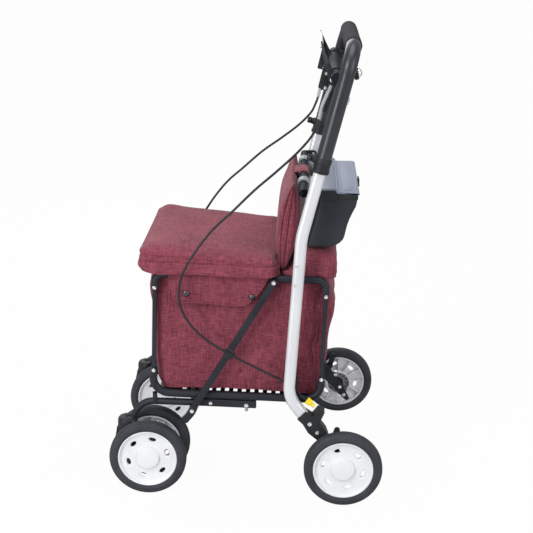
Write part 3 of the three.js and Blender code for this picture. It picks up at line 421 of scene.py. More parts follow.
def plate(name, outline, from_x, to_x, bevel=0.0008, steps=2, crease=35):
    """A plate whose outline is drawn fore and aft and up, with eased edges."""
    shape = bmesh.new()
    corners = [shape.verts.new(spot(from_x, y, z)) for y, z in outline]
    face = shape.faces.new(corners)
    pushed = bmesh.ops.extrude_face_region(shape, geom=[face])
    for corner in (one for one in pushed["geom"] if isinstance(one, bmesh.types.BMVert)):
        corner.co.x += to_x - from_x
    bmesh.ops.recalc_face_normals(shape, faces=shape.faces)
    sharp = [edge for edge in shape.edges if edge.calc_face_angle(0) > math.radians(20)]
    if bevel:
        bmesh.ops.bevel(shape, geom=sharp, offset=bevel, segments=steps, affect="EDGES", profile=0.6,
                        clamp_overlap=True)
    mesh = bpy.data.meshes.new(name)
    shape.to_mesh(mesh)
    shape.free()
    smoothed(mesh, crease)
    return placed(name, mesh)


plastic_finish = moulded_black()
for hand, word in hands:
    foot = spot(upright_x, leg_y(collar_z), collar_z)
    sleeve = turned("sleeve", [
        (leg_radius + 0.0001, 0), (collar_radius - 0.0008, 0), (collar_radius, 0.0008),
        (collar_radius, 0.0075), (collar_radius - 0.0011, 0.0088), (collar_radius - 0.0011, 0.0185),
        (collar_radius - 0.0003, 0.0195), (collar_radius - 0.0003, collar_height - 0.002),
        (collar_radius - 0.0016, collar_height), (leg_radius, collar_height),
    ], foot, up_leg)
    boss_seat = foot + up_leg * knob_rise
    boss_reach = collar_radius + 0.005
    boss = turned("boss", [
        (0.0085, leg_radius), (0.0078, collar_radius), (knob_radius, boss_reach - 0.001),
        (knob_radius - 0.001, boss_reach), (0, boss_reach),
    ], boss_seat, off_leg)
    collar = mirrored(gathered(f"collar_{word}", [sleeve, boss]), hand)
    fitted(collar, "handle", "black_plastic", plastic_finish, f"leg_collar_{word}")
    knob_seat = boss_seat + off_leg * (boss_reach + knob_gap)
    hub = turned("hub", [
        (0, 0), (knob_radius - 0.001, 0), (knob_radius, 0.001), (knob_radius, knob_reach - 0.002),
        (knob_radius - 0.002, knob_reach), (0, knob_reach + 0.0004),
    ], knob_seat, off_leg, 32)
    wing = square_section(0.006, 0.007, 0.0022, 4)
    middle = knob_seat + off_leg * knob_reach / 2
    across = [middle + leftward * x for x in (-0.016, -0.0148, 0.0148, 0.016)]
    wings = swept("wings", across, wing, off_leg)
    knob = mirrored(gathered(f"knob_{word}_wings", [hub, wings]), hand)
    fitted(knob, f"knob_{word}", "black_plastic", plastic_finish, f"height_knob_{word}")


# Carrier tube: a painted cross tube between the handle's legs that takes the brake brackets.
# A screw with a chrome cap nut in a black washer clamps it to each leg from behind.
carrier_y, carrier_z, carrier_radius = -0.025, 0.885, 0.0126
leg_inner = upright_x - leg_radius * 0.35
carrier_length = 2 * leg_inner
carrier_ease = 0.0008
carrier = turned("carrier_tube", [
    (0, 0), (carrier_radius - carrier_ease, 0), (carrier_radius, carrier_ease),
    (carrier_radius, carrier_length - carrier_ease), (carrier_radius - carrier_ease, carrier_length),
    (0, carrier_length),
], spot(-leg_inner, carrier_y, carrier_z), leftward, 48)
fitted(carrier, "handle", "black_tube", satin_finish, "brake_carrier")

cap_place = (0.0100, 0.8935)
cap_inset = 0.024
cap_way = Vector((0, 0.97, 0.24)).normalized()


def bright_chrome():
    finish, nodes, links, shader = new_finish("bright_chrome", 0.12, 1.0)
    film = flecks(nodes, links, 60)
    shaded(nodes, links, shader, film, (0.86, 0.87, 0.88), (0.97, 0.97, 0.97))
    roughened(nodes, links, shader, film, 0.08, 0.2)
    return finish


chrome_finish = bright_chrome()
for hand, word in hands:
    seat = spot(upright_x - cap_inset, *cap_place)
    screw = turned("clamp_screw", [(0.0045, -0.03), (0.0045, 0.001)], seat, cap_way, 20)
    washer = turned("clamp_washer", [
        (0, -0.004), (0.0115, -0.004), (0.0125, -0.002), (0.0125, 0.0035), (0.0112, 0.005),
        (0.0096, 0.004), (0, 0.004),
    ], seat, cap_way, 40)
    ring = gathered(f"clamp_washer_{word}", [screw, washer])
    fitted(mirrored(ring, hand), "handle", "black_plastic", plastic_finish)
    nut = turned(f"cap_nut_{word}", [
        (0.0094, 0.0038), (0.0094, 0.0055), (0.0086, 0.0085), (0.0062, 0.0112), (0.003, 0.0125), (0, 0.0128),
    ], seat, cap_way, 40)
    fitted(mirrored(nut, hand), "handle", "bright_metal", chrome_finish)


# Bell: a black cap over a striker, clipped to the left leg and facing the user.
# A short bright lever beside it is pushed with the thumb and springs back.
bell_z = 0.844
bell_radius = 0.02
bell_height = 0.015
bell_x = upright_x - leg_radius - bell_radius / 2
back_leg = -off_leg
bell_seat = spot(bell_x, leg_y(bell_z), bell_z)
bell = turned("bell_cap", [
    (0, -0.0025), (bell_radius * 0.55, -0.0025), (bell_radius * 0.6, 0.003), (bell_radius - 0.0006, 0.0036),
    (bell_radius, 0.0044), (bell_radius, 0.0085), (bell_radius * 0.93, 0.0115), (bell_radius * 0.74, 0.0136),
    (bell_radius * 0.4, 0.0147), (bell_radius * 0.16, bell_height), (0, bell_height),
], bell_seat, back_leg, 56)
fitted(bell, "handle", "black_plastic", plastic_finish, "bell")
lever_root = bell_seat + back_leg * (bell_height + 0.0004)
lever_hub = turned("lever_hub", [
    (0, 0), (0.0065, 0), (0.007, 0.0006), (0.007, 0.003), (0.0055, 0.004), (0, 0.0042),
], lever_root, back_leg, 32)
lever_path = [lever_root + back_leg * 0.002 + Vector((-x, 0, 0)) for x in (0, 0.008, 0.018, 0.0255, 0.026)]
lever_blade = swept("lever_blade", lever_path, square_section(0.0032, 0.0062, 0.0012, 4), back_leg)
lever = gathered("bell_thumb_piece", [lever_hub, lever_blade])
fitted(lever, "bell_thumb_lever", "bright_metal", chrome_finish, "bell_lever")


# Brake bar: a pale steel rod across the handle, carried by a bent black blade at each end.
# Squeezed towards the grip, it turns the blades on their small screws, and a bolt low on each blade
# pulls its cable.
pivot_x, pivot_y, pivot_z = 0.128, -0.0455, 0.888
bar_half, bar_y, bar_z, bar_radius = 0.09, -0.055, 0.941, 0.0032
eye_half = 0.0025
blade_thickness = 0.0032
blade_section = ((1, -0.8), (1, 0.8), (0.84, 1), (-0.84, 1), (-1, 0.8), (-1, -0.8), (-0.84, -1), (0.84, -1))
blade_path = (
    (0.1390, -0.0305, 0.8640, 0.0030), (0.1390, -0.0317, 0.8678, 0.0060), (0.1390, -0.0341, 0.8756, 0.0073),
    (0.1390, -0.0376, 0.8870, 0.0066), (0.1388, -0.0412, 0.8985, 0.0056), (0.1370, -0.0440, 0.9060, 0.0048),
    (0.1270, -0.0478, 0.9165, 0.0038), (0.1090, -0.0520, 0.9300, 0.0026), (0.0890, -0.0556, 0.9445, 0.0012),
)
cable_bolt_x, cable_bolt_place = 0.1403, (-0.0341, 0.8756)


def lofted(name, rings, foot=True, top=True, crease=60):
    """A skin over rings of points, closed or open at its foot and its top."""
    count = len(rings[0])
    faces = ring_faces(len(rings), count)
    if foot:
        faces.append(tuple(reversed(range(count))))
    if top:
        faces.append(tuple(range((len(rings) - 1) * count, len(rings) * count)))
    return made(name, [point for ring in rings for point in ring], faces, crease)


def pale_rod():
    finish, nodes, links, shader = new_finish("pale_rod", 0.3, 0.25)
    film = flecks(nodes, links, 120)
    shaded(nodes, links, shader, film, (0.80, 0.82, 0.83), (0.90, 0.91, 0.92))
    roughened(nodes, links, shader, film, 0.25, 0.38)
    return finish


bar_path = bent([
    spot(bar_half + 0.004, bar_y, bar_z - 0.008), spot(bar_half - 0.002, bar_y, bar_z),
    spot(-bar_half + 0.002, bar_y, bar_z), spot(-bar_half - 0.004, bar_y, bar_z - 0.008),
], (0.006, 0.006), 6)
rod = swept("brake_rod", bar_path, round_section(bar_radius, 24), rearward)
fitted(rod, "brake_lever", "bright_metal", pale_rod(), "brake_bar")
for hand, word in hands:
    laid = [spot(*place[:3]) for place in blade_path]
    rings = []
    for i, (place, station) in enumerate(zip(blade_path, laid)):
        way = (laid[min(i + 1, len(laid) - 1)] - laid[max(i - 1, 0)]).normalized()
        broad = (rearward - way * way.y).normalized()
        thin = way.cross(broad)
        half = place[3]
        rings.append([station + broad * (half * across) + thin * through * blade_thickness / 2
                      for across, through in blade_section])
    blade = lofted("blade", rings, crease=25)
    hub = turned("hub", [
        (0, 0), (0.0056, 0), (0.006, 0.0004), (0.006, 0.0030), (0.0056, 0.0034), (0, 0.0034),
    ], spot(0.1374, pivot_y, pivot_z), leftward, 32)
    blade_piece = mirrored(gathered(f"brake_blade_{word}", [blade, hub]), hand)
    fitted(blade_piece, "brake_lever", "black_plastic", plastic_finish, "brake_bar")
    cable_bolt = domed(f"cable_bolt_{word}", spot(cable_bolt_x, *cable_bolt_place), leftward,
                       0.0050, 0.0028, 0.0019)
    fitted(mirrored(cable_bolt, hand), "brake_lever", "bright_metal", steel_finish)


# Brake brackets: moulded nylon cheeks that clamp round the carrier tube, one inside each blade.
# A pale screw on either face closes the clamp, and a smaller one carries the blade.
bracket_from = pivot_x + eye_half + 0.0004
bracket_to = bracket_from + 0.006
bracket_outline = (
    (-0.0515, 0.9030), (-0.0615, 0.8610), (-0.0600, 0.8585), (-0.0445, 0.8555), (-0.0440, 0.8500),
    (-0.0485, 0.8350), (-0.0540, 0.8120), (-0.0440, 0.8120), (-0.0355, 0.8380), (-0.0270, 0.8660),
    (-0.0290, 0.8720), (-0.0385, 0.8735), (-0.0440, 0.8900), (-0.0460, 0.9030),
)
raised_outline = (
    (-0.0505, 0.8960), (-0.0585, 0.8628), (-0.0445, 0.8590), (-0.0425, 0.8680), (-0.0470, 0.8880),
)
clamp_screw_place = (-0.0470, 0.8597)
cable_route = (
    (0.134, -0.0548, 0.8152), (0.1342, -0.059, 0.797), (0.1348, -0.066, 0.778), (0.138, -0.076, 0.759),
    (0.148, -0.103, 0.73), (0.165, -0.142, 0.697), (0.182, -0.1848, 0.663), (0.194, -0.2283, 0.6223),
    (0.199, -0.2619, 0.5919), (0.201, -0.2898, 0.5588), (0.201, -0.3149, 0.5217), (0.2, -0.3312, 0.4889),
    (0.198, -0.3382, 0.4587), (0.196, -0.3377, 0.4284), (0.194, -0.3275, 0.3981), (0.192, -0.3063, 0.3675),
    (0.19, -0.2815, 0.345), (0.1884, -0.254, 0.3252), (0.1876, -0.2221, 0.3061), (0.1848, -0.1767, 0.2811),
    (0.1806, -0.136, 0.2585), (0.18, -0.112, 0.2415), (0.1835, -0.092, 0.226), (0.1872, -0.0771, 0.2146),
)
for hand, word in hands:
    cheek = plate("cheek", bracket_outline, bracket_from, bracket_to, 0.0012, 3)
    raised = plate("raised", raised_outline, bracket_to - 0.001, bracket_to + 0.0009, 0.0006)
    ring = turned("ring", [
        (carrier_radius + 0.0002, 0), (carrier_radius + 0.0028, 0), (carrier_radius + 0.0033, 0.0005),
        (carrier_radius + 0.0033, 0.0055), (carrier_radius + 0.0028, 0.006), (carrier_radius + 0.0002, 0.006),
        (carrier_radius + 0.0002, 0),
    ], spot(bracket_from, carrier_y, carrier_z), leftward, 48)
    bracket = mirrored(gathered(f"bracket_{word}", [cheek, raised, ring]), hand)
    fitted(bracket, "handle", "black_plastic", plastic_finish, f"brake_bracket_{word}")
    clamp_heads = [domed("head", spot(face_x, *clamp_screw_place), way, 0.0038, 0.002, 0.0014)
                   for face_x, way in ((bracket_to + 0.0004, leftward), (bracket_from - 0.0004, -leftward))]
    bright_heads(f"bracket_screws_{word}", clamp_heads, hand, "handle")
    pivot_heads = [domed("head", spot(0.1408, pivot_y, pivot_z), leftward, 0.0031, 0.0016),
                   domed("head", spot(bracket_from, pivot_y, pivot_z), -leftward, 0.0031, 0.0016)]
    bright_heads(f"blade_bolt_{word}", pivot_heads, hand, "handle")


# Brake cables: a steel wire in a black plastic sheath, one on each side, with a ribbed grey boot on top.
# Each leaves its bracket's foot, bows forwards to the strut's clip and ends in the rear adjuster.
cable_radius = 0.0025
boot_ribs, boot_sides = 17, 20
boot_route = (
    (0.134, -0.0358, 0.8648), (0.134, -0.0400, 0.8545), (0.134, -0.0448, 0.8420), (0.134, -0.0512, 0.8270),
    (0.134, -0.0548, 0.8152), (0.1342, -0.0590, 0.7970),
)


def smooth_route(points, steps):
    """One smooth curve through listed points."""
    stations = []
    last = len(points) - 1
    for i in range(last):
        a, b, c, d = (points[max(0, min(k, last))] for k in (i - 1, i, i + 1, i + 2))
        for k in range(steps):
            t = k / steps
            stations.append(((b * 2) + (c - a) * t + (a * 2 - b * 5 + c * 4 - d) * t * t
                             + (b * 3 - a - c * 3 + d) * t ** 3) / 2)
    return stations + [points[last]]


def sheath_black():
    finish, nodes, links, shader = new_finish("sheath_black", 0.32, gleam=0.35)
    film = flecks(nodes, links, 90)
    shaded(nodes, links, shader, film, (0.012, 0.012, 0.015), (0.022, 0.023, 0.027))
    roughened(nodes, links, shader, film, 0.26, 0.4)
    return finish


def rubber_grey():
    finish, nodes, links, shader = new_finish("rubber_grey", 0.6)
    film = flecks(nodes, links, 300)
    shaded(nodes, links, shader, film, (0.36, 0.37, 0.40), (0.48, 0.49, 0.52))
    embossed(nodes, links, shader, film, 0.3, 0.0003)
    return finish


sheath_finish = sheath_black()
boot_finish = rubber_grey()


def boot_rings():
    """Rings along a boot, wide and narrow by turns, that taper towards its foot."""
    guide = smooth_route([spot(*place) for place in boot_route], 16)
    rings = []
    count = 4 * boot_ribs
    for k in range(count + 1):
        at = (len(guide) - 1) * k / count
        low = min(int(at), len(guide) - 2)
        station = guide[low].lerp(guide[low + 1], at - low)
        way = (guide[low + 1] - guide[low]).normalized()
        rise = way.cross(leftward).normalized()
        wide = (0.0050 - 0.0012 * k / count) * (1 if k % 4 in (1, 2) else 0.78)
        rings.append([station + leftward * wide * math.cos(turn) + rise * wide * math.sin(turn)
                      for turn in turns(boot_sides)])
    return rings


for hand, word in hands:
    laid = smooth_route([spot(*place) for place in cable_route], 7)
    cable = mirrored(swept(f"cable_sheath_{word}", laid, round_section(cable_radius, 14)), hand)
    cable.data.materials.append(sheath_finish)
    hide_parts(f"brake_cable_{word}")
    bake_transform(cable)
    boot = lofted(f"cable_boot_{word}", boot_rings(), crease=50)
    boot.data.flip_normals()
    fitted(mirrored(boot, hand), "handle", "black_plastic", boot_finish)


# Cross bar: a black tube between the uprights, held off them by a flattened lug at each end.
# The backrest's strap loops round it in the middle, and the box hangs on it by two hooks.
crossbar_y, crossbar_z, crossbar_radius = -0.088, 0.658, 0.0085
upright_inner = upright_x - upright_width / 2
lug_thickness = 0.004
crossbar_reach = upright_inner - 0.0006


def capsule(from_y, from_z, to_y, to_z, radius, steps=10):
    """The outline of a bar with round ends."""
    along = math.atan2(to_z - from_z, to_y - from_y)
    points = []
    for y, z, begin in ((to_y, to_z, along - math.pi / 2), (from_y, from_z, along + math.pi / 2)):
        for k in range(steps + 1):
            turn = begin + math.pi * k / steps
            points.append((y + radius * math.cos(turn), z + radius * math.sin(turn)))
    return points


bar = turned("bar", [
    (0, 0), (crossbar_radius, 0), (crossbar_radius, 2 * crossbar_reach), (0, 2 * crossbar_reach),
], spot(-crossbar_reach, crossbar_y, crossbar_z), leftward, 40)
lug_outline = capsule(crossbar_y, crossbar_z, leg_y(crossbar_z), crossbar_z, crossbar_radius)
lugs = [plate("lug", lug_outline, crossbar_reach - lug_thickness, crossbar_reach),
        plate("lug", lug_outline, -crossbar_reach, lug_thickness - crossbar_reach)]
heads = [domed("head", spot(side * (crossbar_reach - lug_thickness), leg_y(crossbar_z), crossbar_z),
               Vector((-side, 0, 0)), 0.0048, 0.0024, 0.0018) for side in (1, -1)]
fitted(gathered("lug_bolts", heads), "uprights", "bright_metal", steel_finish)
fitted(gathered("cross_tube", [bar] + lugs), "uprights", "black_tube", satin_finish, "crossbar")


# Seat frame: on each side a tube hoop whose feet are flattened into forks for the links.
# Two cross tubes are welded between the hoops, and bosses carry the seat pivot and the strut.
frame_x = 0.163
frame_radius = 0.0075
front_pin = (-0.3918, 0.4522)
rear_pin = (-0.0398, 0.4359)
front_corner_z, rear_corner_z = 0.4806, 0.4694
frame_bend = 0.019
seat_pivot = (-0.102, 0.4727)
strut_top = (-0.1467, 0.4697)
strut_inner = frame_x + 0.0083 + 0.005
strut_outer = strut_inner + 0.007
ear_half = 0.0045 + 0.0003 + 0.0021
ear_radius = 0.0065
rake = (-0.00715, -0.18335)
pin_radius = 0.0042
peg_core = 0.0001


def peg(name, radius, length, seat, way, segments=32):
    """A plain round peg, closed at both ends."""
    profile = [(peg_core, 0), (radius, 0), (radius, length), (peg_core, length)]
    return turned(name, profile, seat, way, segments)


def fork(pin_y, pin_z, rise):
    """Two rounded ears with a link's width between them, and the block that joins them to the tube."""
    parts = []
    for from_x, to_x in ((frame_x - ear_half, frame_x - 0.0048), (frame_x + 0.0048, frame_x + ear_half)):
        outline = capsule(pin_y, pin_z, pin_y, pin_z + rise * 2.2 * ear_radius, ear_radius)
        parts.append(plate("ear", outline, from_x, to_x, 0.0006))
    from_z = pin_z + rise * 0.0052
    block = capsule(pin_y, from_z + rise * 0.0058, pin_y, pin_z + rise * 2.2 * ear_radius, 0.0058)
    parts.append(plate("throat", block, frame_x - 0.0052, frame_x + 0.0052, 0.0005))
    return parts


def pins_through(places):
    """Pins with a head at either end, right through the forks' ears."""
    pins = []
    rise = pin_radius * 0.42
    from_x, to_x = frame_x - ear_half, frame_x + ear_half
    for y, z in places:
        pins.append(domed("head", spot(to_x, y, z), leftward, pin_radius, rise, pin_radius * 0.4))
        pins.append(domed("head", spot(from_x, y, z), -leftward, pin_radius, rise))
        shank = [(pin_radius * 0.5, 0), (pin_radius * 0.5, to_x - from_x)]
        pins.append(turned("shank", shank, spot(from_x, y, z), leftward, 16))
    return pins


hoop_parts = []
for hand, word in hands:
    hoop_path = bent([
        spot(frame_x, front_pin[0], front_pin[1] + ear_radius), spot(frame_x, front_pin[0], front_corner_z),
        spot(frame_x, rear_pin[0], rear_corner_z), spot(frame_x, rear_pin[0], rear_pin[1] + ear_radius),
    ], (frame_bend, frame_bend), 10)
    side_parts = [swept("hoop", hoop_path, round_section(frame_radius, 32))]
    side_parts += fork(*front_pin, 1) + fork(*rear_pin, 1)
    for radius, place, inner in ((0.008, seat_pivot, upright_inner), (0.0065, strut_top, strut_inner)):
        side_parts.append(peg("boss", radius, inner - frame_x - 0.0004, spot(frame_x, *place), leftward))
    hoop_parts.append(mirrored(gathered("side", side_parts), hand))
    bright_heads(f"hoop_pins_{word}", pins_through((front_pin, rear_pin)), hand, "seat_body")
for y, z in ((front_pin[0], front_corner_z - 0.01), (rear_pin[0] - 0.005, rear_corner_z - 0.007)):
    hoop_parts.append(turned("cross", [(0.006, 0), (0.006, 2 * frame_x)], spot(-frame_x, y, z),
                             leftward, 28))
fitted(gathered("seat_hoops", hoop_parts), "seat_body", "black_tube", black_finish, "seat_frame")


# Links: flat black bars between the seat frame's forks and the tray's, one at each corner.
# Each turns on its upper pin, and its lower end lies in the tray's fork.
link_width = 0.009
for pin_place, stem in ((front_pin, "front_link"), (rear_pin, "rear_link")):
    for hand, word in hands:
        outline = capsule(pin_place[0] + rake[0], pin_place[1] + rake[1], *pin_place, link_width / 2)
        from_x, to_x = frame_x - link_width / 2, frame_x + link_width / 2
        bar = plate(f"{stem}_bar_{word}", outline, from_x, to_x, 0.0014, 3)
        fitted(mirrored(bar, hand), f"{stem}s", "black_tube", black_finish, f"{stem}_{word}")


# Struts: flat black bars from the seat frame down to a stud on the front leg. They lock the frame open.
# A lobed nylon clip halfway down is riveted on and holds the brake cable.
strut_foot = (-0.3318, 0.162)
strut_stud = (-0.3186, 0.183)
clip_place = (-0.2388, 0.3144)
clip_radius = 0.013
strut_half = 0.007
for hand, word in hands:
    outline = capsule(*strut_foot, *strut_top, strut_half, 14)
    bar = plate("bar", outline, strut_inner, strut_outer, 0.0012, 3)
    rib_from = (strut_top[0] - 0.012, strut_top[1] - 0.020)
    rib_to = (strut_foot[0] + 0.018, strut_foot[1] + 0.030)
    rib_outline = capsule(*rib_to, *rib_from, 0.0012, 6)
    rib = plate("rib", rib_outline, strut_outer - 0.0004, strut_outer + 0.0007, 0.0004)
    strut_piece = mirrored(gathered(f"strut_bar_{word}", [bar, rib]), hand)
    fitted(strut_piece, "struts", "black_tube", black_finish, f"strut_{word}")
    lobes = []
    for turn in turns(96):
        reach = clip_radius * (0.88 + 0.10 * abs(math.cos(2.5 * turn)))
        lobes.append((clip_place[0] + reach * math.cos(turn), clip_place[1] + reach * math.sin(turn)))
    disc = plate("disc", lobes, strut_outer - 0.001, strut_outer + 0.0022, 0.0007)
    boss_seat = spot(strut_outer + 0.0015, clip_place[0] + 0.002, clip_place[1] - 0.005)
    boss_profile = [(0.0052, 0), (0.0052, 0.0022), (0.0044, 0.003), (0, 0.0032)]
    boss = turned("boss", boss_profile, boss_seat, leftward, 28)
    clip = mirrored(gathered(f"cable_clip_{word}", [disc, boss]), hand)
    fitted(clip, "struts", "black_plastic", plastic_finish)
    heads = [domed("head", spot(strut_outer, y, z), leftward, 0.0048, 0.0024, 0.0018)
             for y, z in (strut_top, strut_stud)]
    bright_heads(f"strut_bolts_{word}", heads, hand, "struts")


# Tray rails: bent black tubes with a fork at either end, and a plate that turns on the upright.
# A short post welded below each one stands on the front leg.
rail_radius = 0.0083
rail_front = (-0.409, 0.2172)
rail_rear = (-0.05, 0.205)
rail_bend = 0.034
front_bolt = (front_pin[0] + rake[0], front_pin[1] + rake[1])
rear_bolt = (rear_pin[0] + rake[0], rear_pin[1] + rake[1])
base_pivot = (seat_pivot[0] + rake[0], seat_pivot[1] + rake[1])
leg_tube_radius, leg_tube_z = 0.0075, 0.1943
post_y, post_radius = -0.3984, 0.005
rail_slope = (rail_front[1] - rail_rear[1]) / (rail_front[0] - rail_rear[0])


def rail_z(y):
    return rail_rear[1] + (y - rail_rear[0]) * rail_slope


for hand, word in hands:
    rail_path = bent([
        spot(frame_x, front_bolt[0], front_bolt[1] - ear_radius), spot(frame_x, *rail_front),
        spot(frame_x, *rail_rear), spot(frame_x, rear_bolt[0], rear_bolt[1] - ear_radius),
    ], (rail_bend, rail_bend), 12)
    parts = [swept("rail", rail_path, round_section(rail_radius, 36))]
    parts += fork(*front_bolt, -1) + fork(*rear_bolt, -1)
    hinge_outline = capsule(base_pivot[0], rail_z(base_pivot[0]), *base_pivot, 0.012, 14)
    parts.append(plate("hinge", hinge_outline, frame_x + 0.0056, frame_x + rail_radius + 0.0046, 0.001))
    parts.append(peg("pin", 0.008, 0.0138, spot(frame_x + rail_radius, *base_pivot), leftward))
    post_height = rail_z(post_y) - leg_tube_z
    parts.append(turned("post", [(post_radius, 0), (post_radius, post_height)],
                        spot(frame_x, post_y, leg_tube_z), upward, 24))
    rail = mirrored(gathered(f"rail_tube_{word}", parts), hand)
    fitted(rail, "base", "black_tube", black_finish, f"tray_rail_{word}")
    bright_heads(f"rail_pins_{word}", pins_through((front_bolt, rear_bolt)), hand, "base")


# Tray: a thin moulded grille between the rails that carries the bag.
# It is one black plate with rows of slots and a turned-down rim.
slot_from_y, slot_to_y, slot_count = -0.338, -0.121, 13
slot_half = 0.0043
tray_front_y, tray_rear_y = -0.391, -0.06
tray_half = frame_x - rail_radius - 0.001
tray_thickness = 0.0024
slot_columns = ((0.004, 0.034), (0.04, 0.07), (0.076, 0.106), (0.112, 0.142))
slot_pitch = (slot_to_y - slot_from_y) / (slot_count - 1)
slot_edges = [side * edge for pair in slot_columns for edge in pair for side in (1, -1)]
across = sorted([-tray_half, tray_half] + slot_edges)
open_across = [side * (pair[0] + pair[1]) / 2 for pair in slot_columns for side in (1, -1)]
open_half = (slot_columns[0][1] - slot_columns[0][0]) / 2
slot_ys = [slot_from_y + slot_pitch * k for k in range(slot_count)]
along = sorted([tray_front_y, tray_rear_y] + [y + side * slot_half for y in slot_ys for side in (1, -1)])
grid = [spot(x, y, rail_z(y) + tray_thickness / 2) for y in along for x in across]
cells = []
for j in range(len(along) - 1):
    for i in range(len(across) - 1):
        middle_x = (across[i] + across[i + 1]) / 2
        middle_y = (along[j] + along[j + 1]) / 2
        in_slot = any(abs(middle_y - y) < slot_half for y in slot_ys)
        in_column = any(abs(middle_x - x) < open_half for x in open_across)
        if not (in_slot and in_column):
            a = j * len(across) + i
            cells.append((a, a + 1, a + len(across) + 1, a + len(across)))
tray = made("tray_grille", grid, cells)
thick = tray.modifiers.new("thickness", "SOLIDIFY")
thick.thickness = tray_thickness
thick.offset = -1
eased = tray.modifiers.new("eased", "BEVEL")
eased.width = 0.0004
eased.segments = 2
eased.limit_method = "ANGLE"
fitted(tray, "base", "black_plastic", plastic_finish, "tray")


# Channels: short black box sections screwed up under the rails, one on each side.
# The front leg's tube runs into the front end, held by a screw, a bolt and an acorn nut.
channel_front_y, channel_rear_y = -0.304, -0.1837
channel_height, channel_width = 0.016, 0.013
channel_drop = 0.0004
channel_screw, channel_bolt = (-0.280, 0.1956), (-0.2045, 0.1916)
for hand, word in hands:
    foot_drop = rail_radius + channel_drop
    front_z, rear_z = (rail_z(y) - foot_drop for y in (channel_front_y, channel_rear_y))
    channel_outline = [
        (channel_front_y, front_z), (channel_rear_y, rear_z),
        (channel_rear_y, rear_z - channel_height), (channel_front_y, front_z - channel_height),
    ]
    outer = frame_x + channel_width / 2
    channel = plate(f"channel_bar_{word}", channel_outline, frame_x - channel_width / 2, outer, 0.0018, 3)
    fitted(mirrored(channel, hand), "base", "black_tube", black_finish, f"channel_{word}")
    screw = domed("screw", spot(outer, *channel_screw), leftward, 0.0042, 0.0022, 0.0015)
    bolt = domed("bolt", spot(outer, *channel_bolt), leftward, 0.0052, 0.0026, 0.002)
    nut_seat = spot(frame_x, channel_bolt[0], channel_bolt[1] - channel_height / 2)
    nut = turned("nut", [(0.0046, 0), (0.0046, 0.003), (0.004, 0.006), (0.0022, 0.0078), (0, 0.0082)],
                 nut_seat, -upward, 6)
    bright_heads(f"channel_fixings_{word}", [screw, bolt, nut], hand, "base")


# Front legs: bent black tubes that leave the channels, pass over the casters and turn down into the
# housings. An ear welded on each takes the strut's foot on a stud.
stem_x, stem_y = 0.156, -0.46
leg_knee_y, leg_start_y, leg_bend = -0.428, -0.452, 0.044
housing_foot_z, housing_top_z = 0.113, 0.158
for hand, word in hands:
    leg_path = bent([
        spot(stem_x, leg_start_y, housing_top_z - 0.012), spot(stem_x, leg_knee_y, leg_tube_z),
        spot(frame_x, channel_front_y + 0.006, leg_tube_z),
    ], (leg_bend,), 14)
    tube = swept("tube", leg_path, round_section(leg_tube_radius, 32))
    ear = peg("ear", 0.0065, strut_inner - frame_x + 0.0034, spot(frame_x - 0.0038, *strut_stud), leftward)
    leg = mirrored(gathered(f"front_leg_tube_{word}", [tube, ear]), hand)
    fitted(leg, "base", "black_tube", black_finish, f"front_leg_{word}")


# Caster housings: moulded black cups with a bearing inside, a cap on top and a nose in front.
# A cross bolt clamps each one on the front leg.
for hand, word in hands:
    cup = turned("cup", [
        (0, 0.0004), (0.0192, 0.0004), (0.021, 0.0018), (0.021, 0.0058), (0.0202, 0.0066),
        (0.0202, 0.0078), (0.0209, 0.0086), (0.0207, 0.035), (0.0198, 0.0405), (0.0172, 0.0438),
        (0.011, 0.0456), (0.0062, 0.046), (0.006, 0.0472), (0.0048, 0.0487), (0.0026, 0.0495), (0, 0.0497),
    ], spot(stem_x, stem_y, housing_foot_z), upward, 48)
    nose_outline = [
        (stem_y - 0.0235, 0.1145), (stem_y, 0.1145), (stem_y, 0.149), (stem_y - 0.014, 0.147),
        (stem_y - 0.0205, 0.139), (stem_y - 0.0235, 0.131),
    ]
    nose = plate("nose", nose_outline, stem_x - 0.009, stem_x + 0.009, 0.0025, 4)
    clamp = capsule(stem_y + 0.012, 0.148, stem_y + 0.004, 0.1475, 0.009, 12)
    block = plate("clamp", clamp, stem_x - 0.0135, stem_x + 0.0135, 0.002, 3)
    housing = mirrored(gathered(f"caster_cup_{word}", [cup, nose, block]), hand)
    fitted(housing, "base", "black_plastic", plastic_finish, f"caster_housing_{word}")
    heads = [domed("head", spot(stem_x + side * 0.0135, stem_y + 0.012, 0.148), Vector((side, 0, 0)),
                   0.0048, 0.0026, 0.0018) for side in (1, -1)]
    bright_heads(f"clamp_bolts_{word}", heads, hand, "base")


